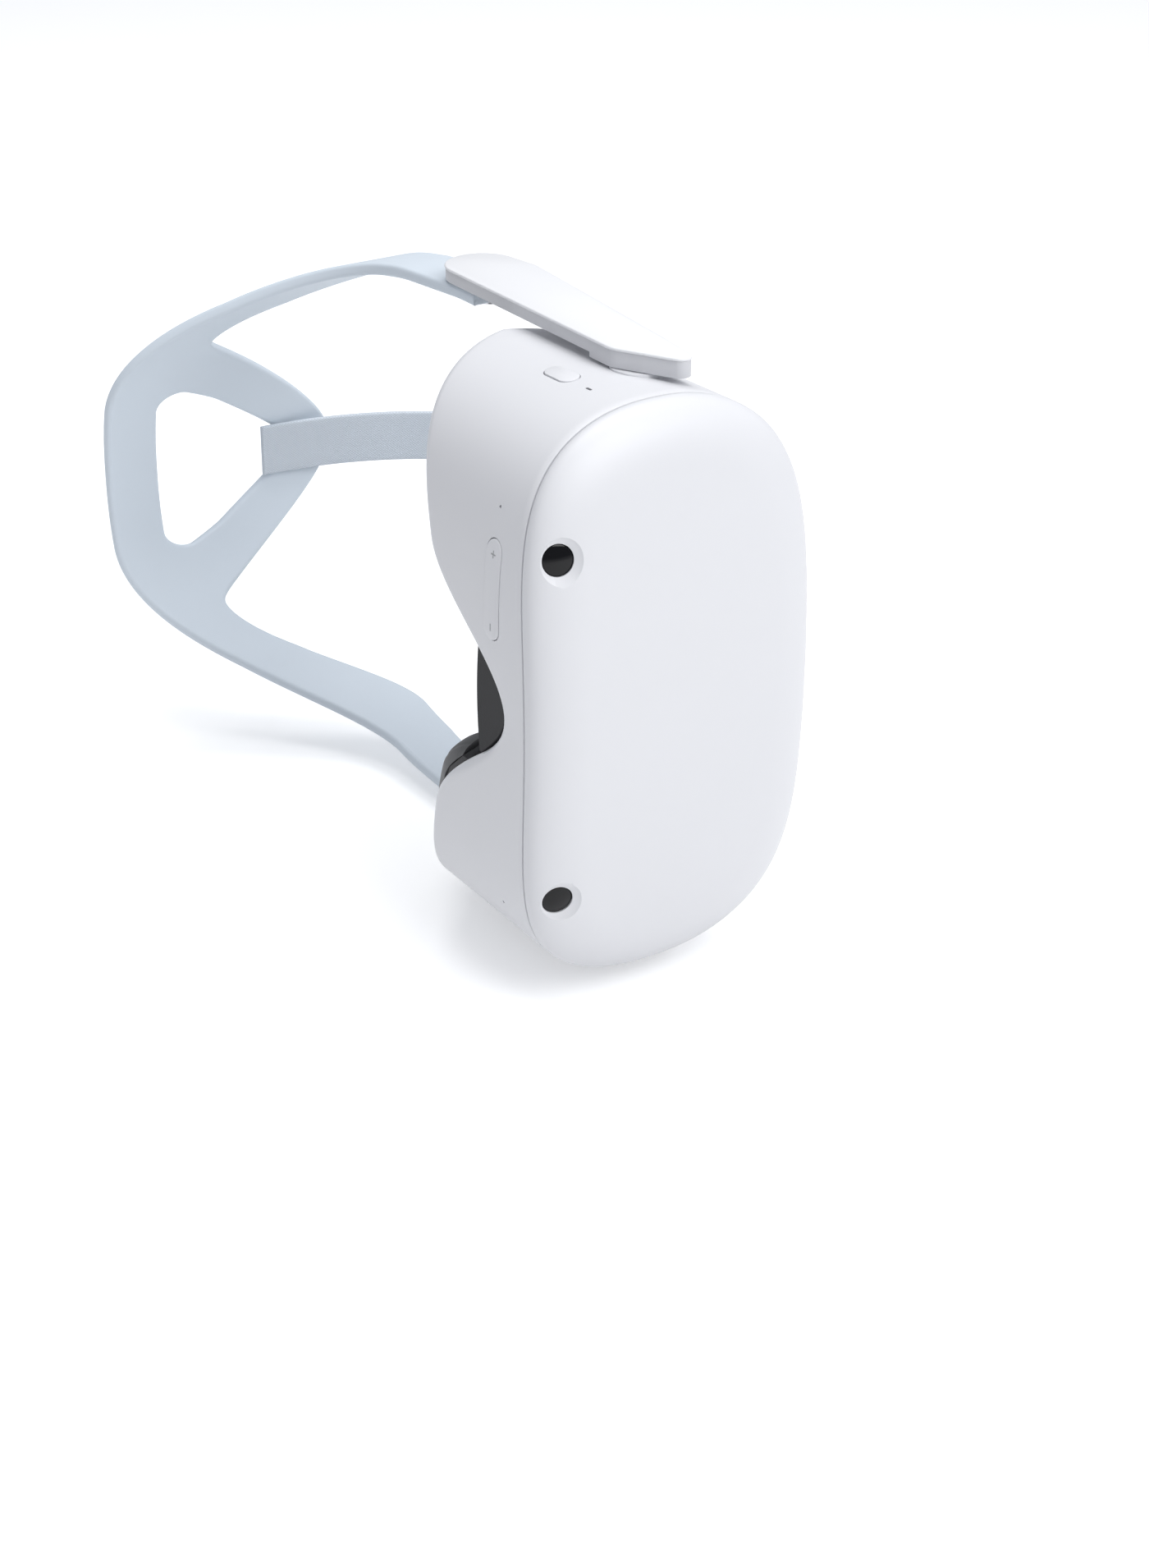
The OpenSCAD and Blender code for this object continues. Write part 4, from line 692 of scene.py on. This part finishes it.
def flatOutline():
    s = np.arange(-band["length"], band["length"] + 0.01, 1.0)
    s = np.append(s, band["length"])
    low = [(v, bandLow(abs(v))) for v in s]
    high = [(v, bandTop(abs(v))) for v in s[::-1]]
    return low + high


def flatHole():
    corner = band["holeHalf"] - band["holeRound"]
    q = np.concatenate([np.arange(0, 23, 1.0), corner + band["holeRound"] * np.sin(np.radians(np.arange(0, 90, 6)))])
    full = np.sqrt(1 - (np.clip(q - corner, 0, None) / band["holeRound"]) ** 2)
    low = band["holeMidX"] + (band["holeLowX"] - band["holeMidX"]) * full
    crown = band["holeTopX"] - band["holeSlope"] * (np.hypot(q, band["holeBend"]) - band["holeBend"])
    high = band["holeMidX"] + (crown - band["holeMidX"]) * full
    lowSide, highSide = list(zip(q, low)), list(zip(q, high))
    loop = [(-v, w) for v, w in lowSide[:0:-1]] + lowSide + [(band["holeHalf"], band["holeMidX"])]
    loop += highSide[::-1] + [(-v, w) for v, w in highSide[1:]] + [(-band["holeHalf"], band["holeMidX"])]
    return loop


def flatCurve(name, loops, thickness, edge):
    curve = bpy.data.curves.new(name, "CURVE")
    curve.dimensions = "2D"
    curve.fill_mode = "BOTH"
    for loop in loops:
        spline = curve.splines.new("POLY")
        spline.points.add(len(loop) - 1)
        spline.points.foreach_set("co", np.array([(x, y, 0, 1) for x, y in loop], np.float32).ravel())
        spline.use_cyclic_u = True
    curve.extrude = thickness / 2 - edge
    curve.bevel_depth = edge
    curve.bevel_resolution = 3
    curve.offset = -edge
    holder = bpy.data.objects.new(name, curve)
    bpy.context.scene.collection.objects.link(holder)
    bpy.context.view_layer.update()
    mesh = bpy.data.meshes.new_from_object(holder.evaluated_get(bpy.context.evaluated_depsgraph_get()))
    bpy.data.objects.remove(holder)
    return mesh


def bendOnBand(name, mesh, depth, material, step=1.5):
    solid = bmesh.new()
    solid.from_mesh(mesh)
    bmesh.ops.remove_doubles(solid, verts=solid.verts, dist=1e-3)
    spans = [v.co.x for v in solid.verts]
    cut = math.ceil(min(spans) / step) * step
    while cut < max(spans):
        geometry = solid.verts[:] + solid.edges[:] + solid.faces[:]
        bmesh.ops.bisect_plane(solid, geom=geometry, dist=1e-4, plane_co=(cut, 0, 0), plane_no=(1, 0, 0))
        cut += step
    uvLayer = solid.loops.layers.uv.new("UVMap")
    for face in solid.faces:
        for loop in face.loops:
            loop[uvLayer].uv = (loop.vert.co.x / 1000, loop.vert.co.y / 1000)
    flat = np.array([v.co for v in solid.verts])
    bent = inFrame(onBand(flat[:, 0], flat[:, 1], flat[:, 2] + depth))
    for v, p in zip(solid.verts, bent):
        v.co = p
    bmesh.ops.recalc_face_normals(solid, faces=solid.faces)
    made = bpy.data.meshes.new(name)
    solid.to_mesh(made)
    solid.free()
    made.shade_smooth()
    made.set_sharp_from_angle(angle=math.radians(50))
    made.materials.append(materials[material])
    piece = bpy.data.objects.new(name, made)
    bpy.context.scene.collection.objects.link(piece)
    return piece


studX = (band["tabLowX"] + band["tabHighX"]) / 2
studAt = band["length"] - band["studIn"]
studHole = band["studR"] + band["studGap"] + band["edgeRound"]  # the flat curve's offset takes the edge's round off it
studHoles = [[(side * studAt + studHole * math.cos(t), studX + studHole * math.sin(t))
              for t in np.linspace(0, 2 * math.pi, 32, endpoint=False)] for side in (1, -1)]
bandFlat = flatCurve("bandFlat", [flatOutline(), flatHole()] + studHoles, band["thickness"], band["edgeRound"])
headBand = bendOnBand("headBand", bandFlat, band["thickness"] / 2, "band")
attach(headBand, "head_band")
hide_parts("head_band")
print("head band:", len(headBand.data.polygons))

# Grip pad on the band's inner face
grip = {"half": 8.0, "low": 1.0, "high": 14.0, "thickness": 0.6, "corner": 2.0, "edgeRound": 0.15, "lift": 0.02}
gripSide, gripTop, gripFoot = grip["half"] - grip["corner"], grip["high"] - grip["corner"], grip["low"] + grip["corner"]
loop = []
for k, (cx, cy) in enumerate([(gripSide, gripTop), (-gripSide, gripTop), (-gripSide, gripFoot), (gripSide, gripFoot)]):
    for t in np.radians(np.arange(k * 90, k * 90 + 91, 10)):
        loop.append((cx + grip["corner"] * math.cos(t), cy + grip["corner"] * math.sin(t)))
gripFlat = flatCurve("gripFlat", [loop], grip["thickness"], grip["edgeRound"])
gripPad = bendOnBand("gripPad", gripFlat, band["thickness"] + grip["lift"] + grip["thickness"] / 2, "grip", 1.0)
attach(gripPad, "head_band")
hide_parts("grip_pad")

# Crown strap: one ribbon in two runs, butted behind the visor
strap = {"width": 18.0, "thickness": 2.0, "edgeRound": 0.7, "x": 50.55, "anchorY": 40.0, "rearGap": 1.7,
         "rearX": -0.3, "rearPull": 40.0, "risePoint": (88.0, 222.0), "peak": (96.0, 160.0),
         "fallPoint": (101.0, 121.0), "landX": 6.0, "landY": 84.0, "straight": 7.0, "tuck": 16, "joinY": 200}
strapEndY = band["rearY"] - band["thickness"] - strap["rearGap"]


def bezier(p, t):
    u = 1 - t
    shares = (u ** 3, 3 * u * u * t, 3 * u * t * t, t ** 3)
    return sum(share * np.array(point) for share, point in zip(shares, p))


rearCurve = [(strap["rearX"], strapEndY), (strap["rearPull"], strapEndY - 1), strap["risePoint"], strap["peak"]]
frontEnd = (strap["x"], strap["anchorY"] + strap["straight"])
frontCurve = [strap["peak"], strap["fallPoint"], (strap["x"] + strap["landX"], strap["landY"]), frontEnd]
strapPath = [bezier(rearCurve, t) for t in np.linspace(0, 1, 70)[:-1]]
strapPath += [bezier(frontCurve, t) for t in np.linspace(0, 1, 60)]
strapPath += [np.array([frontEnd[0], frontEnd[1] - d]) for d in range(2, strap["tuck"] + 1, 2)]
strapPath = np.array(strapPath)


def ribbon(name, path, width, thickness, edge, material):
    steps = np.concatenate([[0], np.cumsum(np.linalg.norm(np.diff(path, axis=0), axis=1))])
    section = []  # (offset from the middle line, across)
    for sx, sz in ((1, 1), (1, -1), (-1, -1), (-1, 1)):
        for t in range(0, 91, 30):
            turn = math.radians(t if sx * sz > 0 else 90 - t)
            section.append((sx * (thickness / 2 - edge + edge * math.cos(turn)),
                            sz * (width / 2 - edge + edge * math.sin(turn))))
    section.sort(key=lambda q: math.atan2(q[1], q[0] * width / thickness))
    fine = []
    for i, q in enumerate(section):
        following = section[(i + 1) % len(section)]
        fine.append(q)
        if abs(q[1] - following[1]) > width / 4:  # the two flat faces get strips, so that they bend evenly
            fine += [tuple(v + (w - v) * k / 8 for v, w in zip(q, following)) for k in range(1, 8)]
    points, uvs = [], []
    for i, p in enumerate(path):
        d = path[min(i + 1, len(path) - 1)] - path[max(i - 1, 0)]
        n = np.array([-d[1], d[0]]) / np.linalg.norm(d)
        for off, z in fine:
            points.append((p[0] + n[0] * off, p[1] + n[1] * off, z))
            uvs.append((steps[i] / 1000, z / 1000))
    count = len(fine)
    faces = []
    for i in range(len(path) - 1):
        faces += ringFaces(i, i + 1, count)
    faces += [list(range(count - 1, -1, -1)), [(len(path) - 1) * count + k for k in range(count)]]
    piece = meshPiece(name, inFrame(points), faces, material, 50)
    layer = piece.data.uv_layers.new(name="UVMap")
    for loopPart in piece.data.loops:
        layer.data[loopPart.index].uv = uvs[loopPart.vertex_index]
    outward(piece)
    return piece


joinAt = int(np.argmin(np.abs(strapPath[:, 1] - strap["joinY"])))
ribbonSize = (strap["width"], strap["thickness"], strap["edgeRound"])
strapRear = ribbon("crownStrapRear", strapPath[:joinAt + 1], *ribbonSize, "strap")
strapFront = ribbon("crownStrapFront", strapPath[joinAt:], *ribbonSize, "strap")
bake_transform(strapRear)
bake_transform(strapFront)
for piece in (strapRear, strapFront):
    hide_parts("crown_strap")
print("crown strap: join at", strapPath[joinAt])

# Face pad
facePad = {"end": 19.5, "in": 8.4, "seat": 2.5, "width": 13.0, "height": 8.5, "lean": 0.42, "stations": 241,
           "foot": 0.5, "sidePower": 0.7, "topPower": 0.5, "seamDeep": 0.7, "seamAt": 2.2, "seamWide": 0.5,
           "endHeight": 0.35, "endRun": 6, "base": 0.15}


def facePoints(turn, inset, behind):
    qx, qz = outline(turn)
    px, pz = outline(turn, inset)
    return np.stack([px, rimY(qx, qz) + behind, pz], -1)


turns = np.radians(np.linspace(facePad["end"], 360 - facePad["end"], facePad["stations"]))
section = []
for q in np.radians(np.linspace(0, 180, 25)):
    cq = math.cos(q)
    across = facePad["width"] / 2 * (1 - 0.97 * math.copysign(abs(cq) ** facePad["sidePower"], cq))
    section.append((across, facePad["foot"] + (facePad["height"] - facePad["foot"]) * math.sin(q) ** facePad["topPower"]))
points, count = [], len(section) + 2
for i, turn in enumerate(turns):
    g = min(1, math.sin(math.pi * i / (facePad["stations"] - 1)) * facePad["endRun"])
    full = facePad["endHeight"] + (1 - facePad["endHeight"]) * math.sqrt(max(0, 1 - (1 - g) ** 2))
    points.append(facePoints(turn, facePad["in"] + 0.2, facePad["seat"] + facePad["base"]))
    for across, high in section:
        seam = facePad["seamDeep"] * math.exp(-((across - facePad["seamAt"]) / facePad["seamWide"]) ** 2)  # sewn edge
        lean = facePad["lean"] * high * (1 - across / facePad["width"])  # the outer side leans in over its frame
        points.append(facePoints(turn, facePad["in"] - 0.4 + across + lean, facePad["seat"] + (high - seam) * full))
    points.append(facePoints(turn, facePad["in"] + facePad["width"] - 1, facePad["seat"] + facePad["base"]))
faces = []
for i in range(facePad["stations"] - 1):
    faces += ringFaces(i, i + 1, count)
faces += [list(range(count)), [(facePad["stations"] - 1) * count + k for k in range(count - 1, -1, -1)]]
faceFoam = meshPiece("faceFoam", inFrame(points), faces, "foam", 50)
outward(faceFoam)
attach(faceFoam, "visor")
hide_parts("face_foam")

# Nose flap
flap = {"halfWidth": 18.0, "rearY": 31.5, "thickness": 1.6, "edgeRound": 0.3, "x": -44.15, "spread": 1.075,
        "clear": 0.9, "narrowest": 1.0}


def flapEdge(z):
    return float(rimY(-visor["halfHeight"], z * flap["spread"])) + flap["clear"]


def flapRear(z):
    corner = flapEdge(flap["halfWidth"])
    arc = flap["rearY"] + (corner - flap["rearY"]) * (z / flap["halfWidth"]) ** 2
    return max(flapEdge(z), arc) + flap["narrowest"]


flapTurns = np.linspace(-flap["halfWidth"], flap["halfWidth"], 61)
loop = [(flapEdge(z), z) for z in flapTurns] + [(flapRear(z), z) for z in flapTurns[::-1]]
mesh = flatCurve("flapFlat", [loop], flap["thickness"], flap["edgeRound"])
co = np.zeros(len(mesh.vertices) * 3)
mesh.vertices.foreach_get("co", co)
co = co.reshape(-1, 3)
flapMiddle = flap["x"] + flap["thickness"] / 2
mesh.vertices.foreach_set("co", inFrame(np.stack([flapMiddle + co[:, 2], co[:, 0], co[:, 1]], 1)).ravel())
noseFlap = bpy.data.objects.new("noseFlap", mesh)
bpy.context.scene.collection.objects.link(noseFlap)
outward(noseFlap)
mesh.shade_smooth()
mesh.set_sharp_from_angle(angle=math.radians(50))
mesh.materials.clear()
mesh.materials.append(materials["flap"])
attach(noseFlap, "visor")
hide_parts("nose_flap")
print("face pad and nose flap made")

# Camera, floor and light
view = {"place": (-0.4517, -0.6410, 0.44795), "forward": (0.488, 0.746, -0.454), "lens": 65.5, "sensor": 36.0,
        "shiftX": 0.0173, "shiftY": 0.0026}
studio = {"floorHalf": 6, "floorDrop": 0.0003, "floorShade": 0.9, "floorLift": 0.4, "liftTint": (0.97, 0.98, 1, 1),
          "skyTint": (0.9, 0.93, 1.0, 1), "skyStrength": 0.36, "aim": (0, 0.08, 0.1)}
camera = bpy.data.cameras.new("camera")
camera.sensor_fit = "VERTICAL"
camera.sensor_height = view["sensor"]
camera.lens = view["lens"]
camera.shift_x, camera.shift_y = view["shiftX"], view["shiftY"]
cameraHolder = bpy.data.objects.new("camera", camera)
bpy.context.scene.collection.objects.link(cameraHolder)
forward = Vector(view["forward"]).normalized()
right = forward.cross(Vector((0, 0, 1))).normalized()
up = right.cross(forward).normalized()
axes = Matrix((right, up, -forward)).transposed()
cameraHolder.matrix_world = Matrix.Translation(view["place"]) @ axes.to_4x4()
bpy.context.scene.camera = cameraHolder

floorMesh = bpy.data.meshes.new("floor")
half = studio["floorHalf"]
floorMesh.from_pydata([(-half, -half, 0), (half, -half, 0), (half, half, 0), (-half, half, 0)], [], [(0, 1, 2, 3)])
floor = bpy.data.objects.new("floor", floorMesh)
bpy.context.scene.collection.objects.link(floor)
floor.location.z = cadBox[0][2] - studio["floorDrop"]
floorMaterial = bpy.data.materials.new("floor")
floorMaterial.use_nodes = True
tree = floorMaterial.node_tree
floorShader = tree.nodes["Principled BSDF"]
floorShader.inputs["Base Color"].default_value = (studio["floorShade"],) * 3 + (1,)
floorShader.inputs["Roughness"].default_value = 0.9
# lifts the floor to white for the camera and for mirror rays, and keeps its shadow
glow = tree.nodes.new("ShaderNodeEmission")
glow.inputs["Color"].default_value = studio["liftTint"]
path = tree.nodes.new("ShaderNodeLightPath")
seen = tree.nodes.new("ShaderNodeMath")
seen.operation = "MAXIMUM"
tree.links.new(path.outputs["Is Camera Ray"], seen.inputs[0])
tree.links.new(path.outputs["Is Glossy Ray"], seen.inputs[1])
lift = tree.nodes.new("ShaderNodeMath")
lift.operation = "MULTIPLY"
lift.inputs[1].default_value = studio["floorLift"]
tree.links.new(seen.outputs[0], lift.inputs[0])
tree.links.new(lift.outputs[0], glow.inputs["Strength"])
both = tree.nodes.new("ShaderNodeAddShader")
tree.links.new(floorShader.outputs[0], both.inputs[0])
tree.links.new(glow.outputs[0], both.inputs[1])
tree.links.new(both.outputs[0], tree.nodes["Material Output"].inputs["Surface"])
floorMesh.materials.append(floorMaterial)

world = bpy.data.worlds.new("studio")
world.use_nodes = True
bpy.context.scene.world = world
tree = world.node_tree
background = tree.nodes["Background"]
background.inputs["Color"].default_value = studio["skyTint"]
background.inputs["Strength"].default_value = studio["skyStrength"]
white = tree.nodes.new("ShaderNodeBackground")
white.inputs["Strength"].default_value = 1.0
path = tree.nodes.new("ShaderNodeLightPath")
seen = tree.nodes.new("ShaderNodeMath")
seen.operation = "MAXIMUM"
tree.links.new(path.outputs["Is Camera Ray"], seen.inputs[0])
tree.links.new(path.outputs["Is Transmission Ray"], seen.inputs[1])
mix = tree.nodes.new("ShaderNodeMixShader")
tree.links.new(seen.outputs[0], mix.inputs["Fac"])
tree.links.new(background.outputs[0], mix.inputs[1])
tree.links.new(white.outputs[0], mix.inputs[2])
tree.links.new(mix.outputs[0], tree.nodes["World Output"].inputs["Surface"])

lamps = {"key": dict(place=(0.25, -1.1, 1.15), size=1.1, power=13),
         "fill": dict(place=(-1.4, -0.1, 0.9), size=1.5, power=0.8),
         "top": dict(place=(0.15, 0.2, 1.8), size=1.5, power=18)}
target = Vector(studio["aim"])
for lampName, lamp in lamps.items():
    light = bpy.data.lights.new(lampName, "AREA")
    light.shape = "DISK"
    light.size = lamp["size"]
    light.energy = lamp["power"]
    holder = bpy.data.objects.new(lampName, light)
    turn = (target - Vector(lamp["place"])).to_track_quat("-Z", "Y")
    holder.matrix_world = Matrix.Translation(lamp["place"]) @ turn.to_matrix().to_4x4()
    bpy.context.scene.collection.objects.link(holder)
bpy.context.scene.view_settings.view_transform = "Standard"
print("studio: camera, floor and", len(lamps), "lamps")
